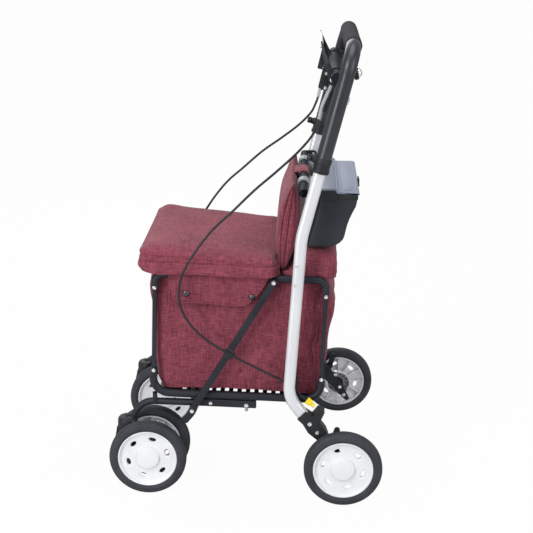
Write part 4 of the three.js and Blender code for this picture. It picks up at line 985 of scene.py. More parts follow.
# Caster forks: a moulded black block under each housing that turns on its stem.
# It carries the axle of the two wheels, one on either side of it.
caster_axle_y = -0.4128
wheel_radius = 0.082
twin_half = 0.04
rim_half = 0.012
for hand, word in hands:
    disc = turned("disc", [
        (0, 0), (0.0185, 0), (0.02, 0.0012), (0.02, 0.0048), (0.0188, 0.006), (0, 0.006),
    ], spot(stem_x, stem_y, housing_foot_z - 0.0064), upward, 44)
    cheek_outline = [
        (stem_y - 0.020, 0.1096), (stem_y - 0.018, 0.0946), (stem_y + 0.004, 0.082),
        (caster_axle_y - 0.012, 0.070), (caster_axle_y - 0.004, 0.0675), (caster_axle_y + 0.008, 0.070),
        (caster_axle_y + 0.012, 0.078), (caster_axle_y + 0.012, 0.087), (caster_axle_y + 0.002, 0.095),
        (stem_y + 0.021, 0.1096),
    ]
    cheek = plate("cheek", cheek_outline, stem_x - 0.020, stem_x + 0.020, 0.0035, 4)
    spacer_reach = twin_half - rim_half - 0.0004
    axle_reach = twin_half + 0.0045
    rods = [peg("rod", radius, 2 * reach, spot(stem_x - reach, caster_axle_y, wheel_radius), leftward, sides)
            for radius, reach, sides in ((0.011, spacer_reach, 32), (0.005, axle_reach, 20))]
    fork_piece = mirrored(gathered(f"caster_block_{word}", [disc, cheek] + rods), hand)
    fitted(fork_piece, f"caster_{word}", "black_plastic", plastic_finish, f"caster_fork_{word}")


# Wheels: white moulded discs with six oval holes and a cap, inside a solid dark grey tyre.
# The casters run in pairs, and the rear ones have a brake drum on the inner side.
rear_wheel_x = 0.2351
rim_radius = 0.0626
hole_circle, hole_long, hole_short = 0.0425, 0.0078, 0.0042
rib_count, rib_half = 12, 0.0011
rib_outline = ((-0.0095, 0.0118), (-0.0078, 0.0596), (0.0016, 0.0596), (0.0016, 0.0118))
wheel_turn = 15


def rim_white():
    finish, nodes, links, shader = new_finish("rim_white", 0.4)
    cloud = flecks(nodes, links, 16)
    grain = flecks(nodes, links, 1200)
    clouded(nodes, links, shader, cloud, (0.735, 0.745, 0.77), (0.79, 0.80, 0.82))
    roughened(nodes, links, shader, cloud, 0.34, 0.48)
    embossed(nodes, links, shader, grain, 0.1, 0.0002)
    return finish


def tyre_grey():
    finish, nodes, links, shader = new_finish("tyre_grey", 0.62, gleam=0.28)
    grit = flecks(nodes, links, 900, detail=4)
    dust = flecks(nodes, links, 25)
    clouded(nodes, links, shader, dust, (0.028, 0.030, 0.037), (0.044, 0.047, 0.057))
    roughened(nodes, links, shader, grit, 0.5, 0.72)
    embossed(nodes, links, shader, grit, 0.35, 0.0003)
    return finish


def as_built(one):
    """The mesh of a piece with its modifiers carried out."""
    bpy.context.view_layer.update()
    return bpy.data.meshes.new_from_object(one.evaluated_get(bpy.context.evaluated_depsgraph_get()))


def rim_mesh():
    """A wheel disc about the X axis, with its outer face towards +X and its holes cut."""
    profile = [
        (0, 0.005), (0.0053, 0.005), (0.0053, -0.012), (0.0112, -0.012), (0.012, -0.0112), (0.0124, 0),
        (0.0136, 0.0012), (0.0565, 0.0012), (0.0588, 0.0002), (0.0594, -0.0112), (0.0602, -0.012),
        (0.0618, -0.012), (rim_radius, -0.0112), (rim_radius, 0.0112), (0.0618, 0.012), (0.0604, 0.012),
        (0.0595, 0.0112), (0.0588, 0.0078), (0.0574, 0.0058), (0.052, 0.0048), (0.034, 0.0048),
        (0.0275, 0.0054), (0.0256, 0.0064), (0.0252, 0.0058), (0.0248, 0.0066), (0.0244, 0.0082),
        (0.0232, 0.0096), (0.019, 0.0106), (0.010, 0.0111), (0, 0.0112),
    ]
    disc = turned("disc", profile, Vector((0, 0, 0)), leftward, 96)
    cutters = []
    for k in range(6):
        angle = 2 * math.pi * (k + 0.5) / 6
        middle = Vector((0, math.cos(angle), math.sin(angle))) * hole_circle
        radial = middle.normalized()
        round_way = Vector((0, -radial.z, radial.y))
        rings = []
        for x, wide in ((0.02, 0.0030), (0.0052, 0.0030), (0.0046, 0.0020), (0.0022, 0), (-0.02, 0)):
            rings.append([middle + round_way * (hole_long + wide) * math.cos(turn)
                          + radial * (hole_short + wide * 0.7) * math.sin(turn) + leftward * x
                          for turn in turns(32)])
        cutters.append(lofted("oval", rings, crease=35))
    cutter = gathered("ovals", cutters)
    holes = disc.modifiers.new("holes", "BOOLEAN")
    holes.object = cutter
    holes.solver = "EXACT"
    mesh = as_built(disc)
    for spent in (disc, cutter):
        bpy.data.objects.remove(spent)
    body = placed("rim", mesh)
    ribs = []
    for k in range(rib_count):
        angle = 2 * math.pi * (k + 0.5) / rib_count
        turn = Matrix.Rotation(angle, 4, "X")
        corners = [(x, side * rib_half, radius) for side in (-1, 1) for x, radius in rib_outline]
        faces = [(0, 1, 2, 3), (7, 6, 5, 4), (0, 4, 5, 1), (1, 5, 6, 2), (2, 6, 7, 3), (3, 7, 4, 0)]
        rib = made("rib", corners, faces)
        rib.data.transform(turn)
        ribs.append(rib)
    whole = gathered("rim", [body] + ribs)
    smoothed(whole.data, 32)
    return whole.data


def tyre_mesh():
    """A solid tyre about the X axis, with a ridge on each sidewall and two grooves in its tread."""
    half = [
        (0.0629, -0.0115), (0.0655, -0.0127), (0.0688, -0.0134), (0.0694, -0.0137), (0.0700, -0.0134),
        (0.0745, -0.0134), (0.0778, -0.0122), (0.0802, -0.0098), (0.0814, -0.0070), (0.0818, -0.0058),
        (0.0811, -0.0054), (0.0811, -0.0048), (0.0819, -0.0044), (0.082, 0),
    ]
    profile = half + [(radius, -place) for radius, place in reversed(half[:-1])] + [half[0]]
    tyre = turned("tyre", profile, Vector((0, 0, 0)), leftward, 96, 30)
    return tyre.data


rim_finish = rim_white()
tyre_finish = tyre_grey()
rim_data = rim_mesh()
tyre_data = tyre_mesh()
drum_profile = [
    (0.026, -0.0215), (0.0295, -0.0215), (0.030, -0.021), (0.030, 0.0012), (0.026, 0.0012), (0.026, -0.0215),
]
wheel_places = [
    ("rear_wheel", rear_wheel_x, 0, 1),
    ("caster_wheel_outer", stem_x + twin_half, caster_axle_y, 1),
    ("caster_wheel_inner", stem_x - twin_half, caster_axle_y, -1),
]
for stem, x, y, outward in wheel_places:
    for hand, word in hands:
        body = f"{stem}_{word}"
        place = Matrix.Translation(spot(x, y, wheel_radius)) @ Matrix.Scale(outward, 4, leftward)
        turned_by = Matrix.Rotation(math.radians(wheel_turn if stem == "rear_wheel" else -wheel_turn), 4, "X")
        for kind, data, finish, slot in (("rim", rim_data, rim_finish, "wheel_rim"),
                                         ("tyre", tyre_data, tyre_finish, "tyre")):
            mesh = data.copy()
            mesh.transform(place @ turned_by)
            if outward < 0:
                mesh.flip_normals()
            wheel_part = placed(f"{body}_{kind}_fine", mesh)
            fitted(mirrored(wheel_part, hand), body, slot, finish, f"{body}_{kind}")
        if stem == "rear_wheel":
            drum = turned(f"brake_drum_{word}", drum_profile, spot(x, y, wheel_radius), leftward, 64)
            fitted(mirrored(drum, hand), body, "bright_metal", steel_finish)
for spare in ("rim", "tyre"):
    bpy.data.objects.remove(bpy.data.objects[spare])


# Rear brackets: moulded black sockets round the uprights' feet, each with an arm to the wheel's axle.
# Two pale bolts hold the tube, and a yellow thumb wheel at the top sets the brake cable.
bracket_socket = (
    (-0.0851, 0.1697), (-0.0736, 0.1496), (-0.0573, 0.1359), (-0.034, 0.1119), (-0.0299, 0.1381),
    (-0.0359, 0.1546), (-0.0494, 0.1731), (-0.039, 0.1969), (-0.0532, 0.2019), (-0.0652, 0.1863),
    (-0.0806, 0.1971), (-0.0964, 0.1805),
)
bracket_arm = (
    (-0.0299, 0.1381), (-0.0621, 0.1501), (-0.0402, 0.1058), (-0.0131, 0.0771), (-0.0049, 0.0656),
    (0.0197, 0.0418), (0.0271, 0.0467), (0.0082, 0.0869), (-0.0057, 0.1041),
)
socket_bolts = ((-0.0702, 0.1709), (-0.0539, 0.151))
arm_bolts = ((-0.0075, 0.111), (0.0036, 0.0785), (0.0136, 0.058))
arm_pin = (-0.022, 0.13)
socket_from, socket_to = 0.183, 0.2124
arm_from, arm_to = 0.1965, 0.2035
cable_end = spot(*cable_route[-1])
cable_down = (cable_end - spot(*cable_route[-2])).normalized()


def thumb_yellow():
    finish, nodes, links, shader = new_finish("thumb_yellow", 0.42)
    film = flecks(nodes, links, 200)
    shaded(nodes, links, shader, film, (0.80, 0.62, 0.012), (0.95, 0.78, 0.03))
    embossed(nodes, links, shader, film, 0.15, 0.0002)
    return finish


yellow_finish = thumb_yellow()
for hand, word in hands:
    socket = plate("socket", bracket_socket, socket_from, socket_to, 0.002, 3)
    arm = plate("arm", bracket_arm, arm_from, arm_to, 0.0014, 3)
    shoulder = rear_wheel_x - rim_half - arm_to
    stub = turned("stub", [
        (peg_core, 0), (0.012, 0), (0.012, shoulder - 0.0004), (0.005, shoulder - 0.0003), (0.005, 0.036),
        (peg_core, 0.036),
    ], spot(arm_to - 0.001, 0, wheel_radius), leftward, 36)
    holder = peg("holder", 0.0046, 0.0105, spot(arm_to - 0.001, *arm_pin), leftward, 24)
    bracket = mirrored(gathered(f"rear_socket_{word}", [socket, arm, stub, holder]), hand)
    fitted(bracket, "uprights", "black_plastic", plastic_finish, f"rear_bracket_{word}")
    heads = [domed("head", spot(socket_to, y, z), leftward, 0.005, 0.0026, 0.002) for y, z in socket_bolts]
    heads += [domed("head", spot(arm_from, y, z), -leftward, 0.0046, 0.0026, 0.002) for y, z in arm_bolts]
    bright_heads(f"socket_bolts_{word}", heads, hand, "uprights")
    thumb = []
    for turn in turns(60):
        reach = 0.0064 + 0.0007 * math.cos(10 * turn)
        thumb.append((reach * math.cos(turn), reach * math.sin(turn)))
    mouth = cable_end + cable_down * 0.0004
    wheel = swept("thumb", [mouth + cable_down * k for k in (0, 0.0008, 0.0105, 0.0113)], thumb)
    sleeve = peg("sleeve", 0.0042, 0.021 - 0.0113, mouth + cable_down * 0.0113, cable_down, 28)
    adjuster = mirrored(gathered(f"cable_adjuster_{word}", [wheel, sleeve]), hand)
    fitted(adjuster, "uprights", "black_plastic", yellow_finish)


# Brake arms: flat black levers, one on a pin of each rear bracket.
# The cable pulls the upper end, and the shoe at the lower end swings onto the drum.
shoe_reach = 0.030 + 0.0014 + 0.006
shoe_turn = math.radians(135)
shoe_place = (shoe_reach * math.cos(shoe_turn), wheel_radius + shoe_reach * math.sin(shoe_turn))
for hand, word in hands:
    from_x, to_x = arm_to + 0.0004, arm_to + 0.0064
    pull_place = (arm_pin[0] + 0.009, arm_pin[1] + 0.026)
    upper = plate("upper", capsule(*arm_pin, *pull_place, 0.006), from_x, to_x, 0.0009)
    lower = plate("lower", capsule(*arm_pin, *shoe_place, 0.005), from_x, to_x, 0.0009)
    hub = turned("hub", [
        (0.0052, 0), (0.0076, 0), (0.008, 0.0004), (0.008, 0.0056),
        (0.0076, 0.006), (0.0052, 0.006), (0.0052, 0),
    ], spot(from_x, *arm_pin), leftward, 36)
    shoe = peg("shoe", 0.006, 0.0188, spot(from_x, *shoe_place), leftward, 28)
    lever_arm = mirrored(gathered(f"brake_lever_arm_{word}", [upper, lower, hub, shoe]), hand)
    fitted(lever_arm, f"brake_arm_{word}", "black_plastic", plastic_finish, f"brake_arm_{word}")


# Box: a charcoal plastic bin behind the backrest that hangs on the cross bar by two grey hooks.
# Its back bellies out above a drawn-in foot, and a darker rim band runs round its mouth.
box_half = 0.145
box_top_z = 0.6472
box_front_y, box_rear_y = -0.055, 0.021
box_wall = 0.003
mouth_wall = box_wall + 0.004
box_outer = (
    (-0.055, 0.6472), (-0.056, 0.628), (-0.066, 0.585), (-0.079, 0.541), (-0.0765, 0.5355),
    (-0.070, 0.534), (-0.036, 0.534), (-0.0246, 0.5365), (-0.014, 0.5425), (-0.0065, 0.5505),
    (-0.0035, 0.559), (-0.0014, 0.569), (0.001, 0.580), (0.0062, 0.595), (0.0126, 0.609),
    (0.0182, 0.620), (0.0206, 0.632), (0.021, 0.6472),
)
box_columns = (
    (-box_half, 0.006), (-box_half + 0.0015, 0.0022), (-box_half + 0.006, 0), (box_half - 0.006, 0),
    (box_half - 0.0015, 0.0022), (box_half, 0.006),
)
band_levels = (
    (-0.002, 0.6338), (0.0008, 0.6346), (0.0014, 0.636), (0.0014, 0.6446), (0.0008, 0.646), (-0.002, 0.6464),
)
band_corner = 0.005


def grained_charcoal():
    finish, nodes, links, shader = new_finish("grained_charcoal", 0.5, gleam=0.22)
    grain = flecks(nodes, links, 1100, detail=3)
    cloud = flecks(nodes, links, 12)
    clouded(nodes, links, shader, cloud, (0.022, 0.025, 0.032), (0.034, 0.038, 0.048))
    roughened(nodes, links, shader, grain, 0.42, 0.6)
    embossed(nodes, links, shader, grain, 0.3, 0.0003)
    return finish


def hook_grey():
    finish, nodes, links, shader = new_finish("hook_grey", 0.48, gleam=0.3)
    grain = flecks(nodes, links, 1000)
    shaded(nodes, links, shader, grain, (0.23, 0.26, 0.27), (0.31, 0.335, 0.35))
    embossed(nodes, links, shader, grain, 0.2, 0.0002)
    return finish


charcoal_finish = grained_charcoal()
hook_finish = hook_grey()


def inset_outline(points, inset):
    """The same open outline, drawn in by a wall's thickness."""
    drawn = []
    last = len(points) - 1
    for i, (y, z) in enumerate(points):
        before, after = points[max(i - 1, 0)], points[min(i + 1, last)]
        way = Vector((after[0] - before[0], after[1] - before[1])).normalized()
        drawn.append((y - way.y * inset, z + way.x * inset))
    return drawn


def sheet_faces(rows, count):
    """The faces of an open sheet of points, laid row after row."""
    faces = []
    for i in range(rows - 1):
        for k in range(count - 1):
            a = i * count + k
            faces.append((a, a + 1, a + count + 1, a + count))
    return faces


outside_points = []
for x, tuck in box_columns:
    for y, z in inset_outline(box_outer, tuck):
        outside_points.append(spot(x, y, min(z, box_top_z)))
rows = len(box_outer)
ends = [tuple(range(rows)), tuple(reversed(range((len(box_columns) - 1) * rows, len(box_columns) * rows)))]
outside = made("outside", outside_points, sheet_faces(len(box_columns), rows) + ends, 40)
inner_points = [spot(side * (box_half - mouth_wall), y, min(z, box_top_z)) for side in (-1, 1)
                for y, z in inset_outline(box_outer, mouth_wall)]
inner_faces = [(k + 1, k, k + rows, k + rows + 1) for k in range(rows - 1)]
inner_faces += [tuple(reversed(range(rows))), tuple(range(rows, 2 * rows))]
inside = made("inside", inner_points, inner_faces, 40)
mouth_points = [spot(x * (box_half - inset), y, box_top_z) for inset in (0, mouth_wall) for x, y in (
    (-1, box_front_y + inset), (1, box_front_y + inset), (1, box_rear_y - inset), (-1, box_rear_y - inset))]
mouth = made("mouth", mouth_points, [(k, (k + 1) % 4, (k + 1) % 4 + 4, k + 4) for k in range(4)])
bin_shell = gathered("box_bin", [outside, inside, mouth])
fitted(bin_shell, "uprights", "box_plastic", charcoal_finish, "utility_box")

band_rings = []
for out, z in band_levels:
    ring = []
    corners = ((1, box_rear_y, 0), (-1, box_rear_y, 90), (-1, box_front_y, 180), (1, box_front_y, 270))
    for x, y, begin in corners:
        centre_x = x * (box_half - band_corner)
        centre_y = y - math.copysign(band_corner, y + 0.02)
        for k in range(5):
            angle = math.radians(begin + 22.5 * k)
            ring.append(spot(centre_x + (band_corner + out) * math.cos(angle),
                             centre_y + (band_corner + out) * math.sin(angle), z))
    band_rings.append(ring)
rim_band = lofted("band", band_rings, False, False, 30)
cheek_outline = ((-0.0545, 0.634), (-0.0195, 0.634), (-0.0195, 0.6475), (-0.0245, 0.6548), (-0.0545, 0.6548))
cheeks = [plate("cheek", cheek_outline, side * (box_half + 0.0018), side * (box_half + 0.0042), 0.0008)
          for side in (1, -1)]
fitted(gathered("box_rim_band", [rim_band] + cheeks), "uprights", "box_plastic", plastic_finish)

hook_x, hook_half, hook_wall = 0.1, 0.013, 0.004
bar_clear = crossbar_radius + 0.0004
hook_outer = bar_clear + hook_wall


def over_bar(radius, angles):
    """An arc of a hook's outline, over the cross bar."""
    return [(crossbar_y + radius * math.cos(angle), crossbar_z + radius * math.sin(angle))
            for angle in angles]


hook_outline = [(crossbar_y - hook_outer, crossbar_z - 0.009)]
hook_outline += over_bar(hook_outer, [math.pi - math.pi * k / 18 for k in range(15)])
hook_outline += [
    (-0.066, 0.6515), (-0.0565, 0.640), (-0.0535, 0.632),
    (-0.056, 0.6265), (-0.064, 0.6255), (-0.0735, 0.629),
    (crossbar_y + bar_clear, 0.642),
]
hook_outline += over_bar(bar_clear, [math.pi * k / 18 for k in range(19)])
hook_outline += [
    (crossbar_y - bar_clear, crossbar_z - 0.009), (crossbar_y - bar_clear - 0.002, crossbar_z - 0.011),
]
hooks = [plate("hook", hook_outline, side * hook_x - hook_half, side * hook_x + hook_half, 0.0012, 3)
         for side in (1, -1)]
fitted(gathered("box_hooks", hooks), "uprights", "box_plastic", hook_finish)


# Box lid: a grey moulded cover with a raised front and a lower rear panel, hinged at its front edge.
# A rib runs across at the step, and a small dark latch hangs over the rear rim.
lid_front_y, lid_rear_y = box_front_y, 0.024
lid_crown_z, lid_low_z = 0.6586, 0.651
lid_step_y = -0.02
lid_half = box_half + 0.0013
lid_fold_z = 0.6476


def lid_grey():
    finish, nodes, links, shader = new_finish("lid_grey", 0.44, gleam=0.3)
    where = nodes.new("ShaderNodeTexCoord")
    split = nodes.new("ShaderNodeSeparateXYZ")
    links.new(where.outputs["Object"], split.inputs["Vector"])
    step = axle_y + lid_step_y
    rear = ranged(nodes, links, split.outputs["Y"], step - 0.0045, step - 0.0015, 0, 1)
    grain = flecks(nodes, links, 1100, detail=3)
    shaded(nodes, links, shader, rear, (0.198, 0.222, 0.282), (0.275, 0.305, 0.400))
    roughened(nodes, links, shader, grain, 0.38, 0.52)
    embossed(nodes, links, shader, grain, 0.22, 0.0002)
    return finish


lid_outline = [
    (lid_front_y, lid_fold_z), (lid_rear_y - 0.001, lid_fold_z), (lid_rear_y - 0.001, lid_low_z - 0.006),
    (lid_rear_y + 0.0013, lid_low_z - 0.006), (lid_rear_y + 0.0006, lid_low_z - 0.0028),
    (lid_rear_y - 0.002, lid_low_z - 0.0006), (lid_rear_y - 0.006, lid_low_z),
    (lid_step_y + 0.003, lid_low_z + 0.0002), (lid_step_y + 0.0006, lid_low_z + 0.0012),
    (lid_step_y - 0.0022, lid_crown_z - 0.0018), (lid_step_y - 0.0046, lid_crown_z),
    (lid_front_y + 0.006, lid_crown_z), (lid_front_y + 0.0018, lid_crown_z - 0.0012),
    (lid_front_y, lid_crown_z - 0.005),
]
lid_plate = plate("lid", lid_outline, -lid_half, lid_half, 0.0022, 4)
rib_reach = lid_half - 0.004
rib_path = [spot(x, lid_step_y - 0.0006, lid_low_z + 0.0046) for x in (-rib_reach, -0.05, 0.05, rib_reach)]
rib = swept("rib", rib_path, round_section(0.0016, 12), rearward)
seam = plate("seam", [(-0.008, lid_low_z - 0.0004), (0.012, lid_low_z - 0.0004), (0.012, lid_low_z + 0.0006),
                      (-0.008, lid_low_z + 0.0006)], -lid_half + 0.016, lid_half - 0.016, 0.0005)
lid = gathered("box_cover_shell", [lid_plate, rib, seam])
fitted(lid, "box_cover", "lid_plastic", lid_grey(), "box_lid")
latch_outline = [
    (lid_rear_y + 0.0019, 0.6302), (lid_rear_y + 0.0045, 0.6298), (lid_rear_y + 0.0062, 0.632),
    (lid_rear_y + 0.0056, 0.638), (lid_rear_y + 0.0056, 0.6455), (lid_rear_y + 0.004, 0.648),
    (lid_rear_y + 0.0019, 0.648),
]
latch = plate("box_catch_tab", latch_outline, -0.013, 0.013, 0.0009, 3)
fitted(latch, "box_catch", "black_plastic", plastic_finish, "box_latch")


# Seat panel: a thin black board under the cushion that lies along the two hoops.
# It is one moulded plate with eased edges, and the cushion's cover is tacked over its rim.
seat_slope = (front_corner_z - rear_corner_z) / (front_pin[0] - rear_pin[0])
panel_front_y, panel_rear_y, panel_half, panel_thickness = -0.4008, -0.154, 0.17, 0.006
panel_gap = 0.0005


def hoop_top(y):
    return rear_corner_z + (y - rear_pin[0]) * seat_slope + frame_radius


panel_outline = [(y, hoop_top(y) + rise) for y, rise in (
    (panel_front_y, panel_gap), (panel_rear_y, panel_gap),
    (panel_rear_y, panel_thickness), (panel_front_y, panel_thickness))]
seat_panel = plate("seat_panel", panel_outline, -panel_half, panel_half, 0.0014, 3)
fitted(seat_panel, "seat_lid", "black_plastic", plastic_finish, "seat_board")


# Seat cushion: foam in a sewn cover of heathered burgundy cloth, thicker in front than behind.
# It is piped round its upper edge, gathers into small folds at its corners, and a short skirt sewn round
# it hides the board.
cushion_half, cushion_front_y, cushion_rear_y = 0.186, -0.4225, -0.1385
cushion_front_z, cushion_rear_z = 0.541, 0.5125
cushion_corner = 0.026
voxel, swell = 0.005, 0.004
pad_gap = 0.0068
cushion_profile = (
    (0.012, 0), (0.004, 0.08), (0.001, 0.22), (0, 0.6), (0.001, 0.78), (0.005, 0.9), (0.013, 0.98),
    (0.030, 1.04), (0.060, 1.08), (0.10, 1.10),
)
skirt_half, skirt_front_y, skirt_rear_y, skirt_corner = 0.190, -0.4265, -0.1345, 0.030
skirt_top, skirt_drop, skirt_steps, skirt_cloth = 0.0165, 0.0055, 6, 0.0013


def heathered_cloth(name, dark, light):
    finish, nodes, links, shader = new_finish(name, 0.9, gleam=0.2)
    weft = flecks(nodes, links, 620, (1, 0.08, 1), 2)
    warp = flecks(nodes, links, 620, (0.08, 1, 0.08), 2)
    cloud = flecks(nodes, links, 9, detail=3)
    threads = nodes.new("ShaderNodeMath")
    threads.operation = "ADD"
    links.new(weft, threads.inputs[0])
    links.new(warp, threads.inputs[1])
    tone = nodes.new("ShaderNodeMath")
    tone.operation = "MULTIPLY_ADD"
    tone.inputs[1].default_value = 0.5
    links.new(cloud, tone.inputs[0])
    links.new(threads.outputs["Value"], tone.inputs[2])
    shaded(nodes, links, shader, ranged(nodes, links, tone.outputs["Value"], 1.0, 1.5, 0, 1), dark, light)
    embossed(nodes, links, shader, threads.outputs["Value"], 0.5, 0.0005)
    shader.inputs["Sheen Weight"].default_value = 0.12
    shader.inputs["Sheen Roughness"].default_value = 0.4
    return finish


# A darker copy of the cloth: painted shade for the creases along the backrest's piped seams.
crease_shade_finish = heathered_cloth("seam_cloth", (0.075, 0.014, 0.023), (0.165, 0.036, 0.054))
cloth_finish = heathered_cloth("heathered_cloth", (0.130, 0.0255, 0.0410), (0.300, 0.0700, 0.1010))


def pad_z(y):
    """The height at which the cushion rests on its board."""
    return hoop_top(y) + pad_gap


def cushion_top(y):
    """The height of the cushion's upper edge, which falls towards the rear."""
    share = (y - cushion_front_y) / (cushion_rear_y - cushion_front_y)
    return cushion_front_z + (cushion_rear_z - cushion_front_z) * share


def rounded(half, low, high, corner, side_runs=14, end_runs=16, steps=6):
    """Pairs (a, b) anticlockwise round a rectangle with round corners, with b from low to high."""
    corners = ((half - corner, high - corner), (corner - half, high - corner), (corner - half, low + corner),
               (half - corner, low + corner))
    points = []
    for i, (a, b) in enumerate(corners):
        for k in range(steps + 1):
            turn = (i + k / steps) * math.pi / 2
            points.append((a + corner * math.cos(turn), b + corner * math.sin(turn)))
        last = points[-1]
        turn = (i + 1) * math.pi / 2
        ahead = corners[(i + 1) % 4]
        first = (ahead[0] + corner * math.cos(turn), ahead[1] + corner * math.sin(turn))
        runs = end_runs if i % 2 == 0 else side_runs
        points += [(last[0] + (first[0] - last[0]) * k / runs, last[1] + (first[1] - last[1]) * k / runs)
                   for k in range(1, runs)]
    return points


def stuffed(one, cap, rest=None):
    """Fills a sewn cover: it swells from within, no further than its cap, and lies flat where it rests."""
    name = one.name
    knit = one.modifiers.new("knit", "REMESH")
    knit.mode = "VOXEL"
    knit.voxel_size = voxel
    mesh = as_built(one)
    bpy.data.objects.remove(one)
    cover = placed(name, mesh)
    before = [vertex.co.copy() for vertex in mesh.vertices]
    filling = cover.modifiers.new("filling", "CLOTH")
    filling.settings.use_pressure = True
    filling.settings.uniform_pressure_force = 4
    filling.settings.effector_weights.gravity = 0
    for step in range(1, 21):
        bpy.context.scene.frame_set(step)
    pressed = cover.evaluated_get(bpy.context.evaluated_depsgraph_get())
    after = [vertex.co.copy() for vertex in pressed.data.vertices]
    cover.modifiers.remove(filling)
    bpy.context.scene.frame_set(1)
    normals = [vertex.normal.copy() for vertex in mesh.vertices]
    for vertex, start, end, normal in zip(mesh.vertices, before, after, normals):
        push = end - start
        out = push.dot(normal)
        push -= normal * (out - min(max(out, 0.0), cap))
        if push.length > cap:
            push = push.normalized() * cap
        vertex.co = start + push
    if rest:
        for vertex in mesh.vertices:
            vertex.co.z = max(vertex.co.z, rest(vertex.co.y - axle_y))
    finer = cover.modifiers.new("finer", "SUBSURF")
    finer.levels = finer.render_levels = 1
    smoothed(mesh)
    mesh.update()
    return cover


def gathers(one, corners, ridges, reach, depth):
    """Small folds that fan out from sewn corners."""
    normals = [vertex.normal.copy() for vertex in one.data.vertices]
    for vertex, normal in zip(one.data.vertices, normals):
        for corner, across, along in corners:
            away = vertex.co - corner
            fall = math.exp(-(away.length / reach) ** 2) * min(1, away.length / (reach * 0.35))
            if fall > 0.02:
                fan = math.atan2(away.dot(across), away.dot(along))
                vertex.co += normal * depth * fall * math.sin(ridges * fan + away.length * 60)
    one.data.update()


def nearest_on(one, places, lift):
    """The places on a cover's surface that lie nearest to a rough line, lifted a little off it."""
    tree = BVHTree.FromPolygons([vertex.co for vertex in one.data.vertices],
                                [tuple(face.vertices) for face in one.data.polygons])
    laid = []
    for place in places:
        hit, normal, _, _ = tree.find_nearest(place)
        laid.append(hit + normal * lift)
    for _ in range(2):
        laid = [(laid[k - 1] + laid[k] * 2 + laid[(k + 1) % len(laid)]) / 4 for k in range(len(laid))]
    return laid


def looped(name, stations, radius, upright=upward, sides=8):
    """A thin cord sewn on in a closed loop."""
    rings = []
    count = len(stations)
    for i, station in enumerate(stations):
        way = (stations[(i + 1) % count] - stations[i - 1]).normalized()
        across = way.cross(upright).normalized()
        rise = across.cross(way)
        rings.append([station + across * radius * math.cos(turn) + rise * radius * math.sin(turn)
                      for turn in turns(sides)])
    points = [point for ring in rings for point in ring]
    last = count * sides
    faces = [tuple(corner % last for corner in reversed(face)) for face in ring_faces(count + 1, sides)]
    return made(name, points, faces, 80)


def cushion_ring(inset, share):
    """A ring round the cushion: its inset, and its share of the height. The sides are drawn in."""
    ring = []
    middle = (cushion_front_y + cushion_rear_y) / 2
    depth = (cushion_rear_y - cushion_front_y) / 2
    corner = max(cushion_corner - inset * 0.3, 0.012)
    for x, y in rounded(cushion_half - inset, cushion_front_y + inset, cushion_rear_y - inset, corner):
        drawn_x = x * (1 - 0.014 * (1 - ((y - middle) / depth) ** 2))
        drawn_y = middle + (y - middle) * (1 - 0.014 * (1 - (x / cushion_half) ** 2))
        low = pad_z(drawn_y)
        ring.append(spot(drawn_x, drawn_y, low + share * (cushion_top(drawn_y) - low)))
    return ring


cushion = stuffed(lofted("cushion_cover", [cushion_ring(*level) for level in cushion_profile]), swell, pad_z)
cushion_corners = []
stitch_inset = 0.006
for x, y in ((1, 1), (1, -1), (-1, 1), (-1, -1)):
    corner_y = (cushion_rear_y if y > 0 else cushion_front_y) - y * stitch_inset
    corner_z = cushion_top(corner_y) - stitch_inset
    cushion_corners.append((spot(x * (cushion_half - stitch_inset), corner_y, corner_z),
                            Vector((0.3 * x, 0, 1)), Vector((-x, -y, 0)).normalized()))
gathers(cushion, cushion_corners, 9, 0.06, 0.0030)
fitted(cushion, "seat_lid", "burgundy_cloth", cloth_finish, "seat_cushion")
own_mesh(cushion)
piping = looped("cushion_piping", nearest_on(cushion, cushion_ring(-0.004, 0.80), 0.0004), 0.0011)
fitted(piping, "seat_lid", "burgundy_cloth", cloth_finish)
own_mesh(piping)


def skirt_line(share):
    """The skirt's points at one height: laid on the cushion on top, a little off it at the hem."""
    outline = rounded(skirt_half, skirt_front_y, skirt_rear_y, skirt_corner, 28, 34, 8)
    laid = nearest_on(cushion, [spot(x, y, pad_z(y) + skirt_top) for x, y in outline], 0.0009)
    ring = []
    for k, place in enumerate(laid):
        ahead = laid[(k + 1) % len(laid)] - laid[k - 1]
        out = Vector((ahead.y, -ahead.x, 0)).normalized()
        y = place.y - axle_y
        hem_z = pad_z(y) - skirt_drop + 0.0011 * math.sin(k * 0.37)
        wave = 0.0012 * math.sin(k * 0.83) + 0.0008 * math.sin(k * 0.31 + 1)
        tuck = 0.009 * max(0, (share - 0.45) / 0.55) ** 1.5 * min(1, max(0, (-0.395 - y) / 0.02))
        off = 0.0012 * math.sin(math.pi * min(1, share * 1.6)) + 0.0022 * share + wave * share - tuck
        ring.append(place + out * off + Vector((0, 0, (hem_z - place.z) * share)))
    return ring


skirt_rings = [skirt_line(step / skirt_steps) for step in range(skirt_steps + 1)]


def cloth_wall(one, thickness):
    """Gives a sheet of cloth its thickness, half to either side."""
    wall = one.modifiers.new("cloth", "SOLIDIFY")
    wall.thickness = thickness
    wall.offset = 0
    return one


skirt = cloth_wall(lofted("cushion_skirt", list(reversed(skirt_rings)), False, False), skirt_cloth)
skirt_hem = looped("skirt_hem", skirt_rings[-1], skirt_cloth)
fitted(skirt_hem, "seat_lid", "burgundy_cloth", cloth_finish)
fitted(skirt, "seat_lid", "burgundy_cloth", cloth_finish)
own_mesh(skirt_hem)
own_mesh(skirt)
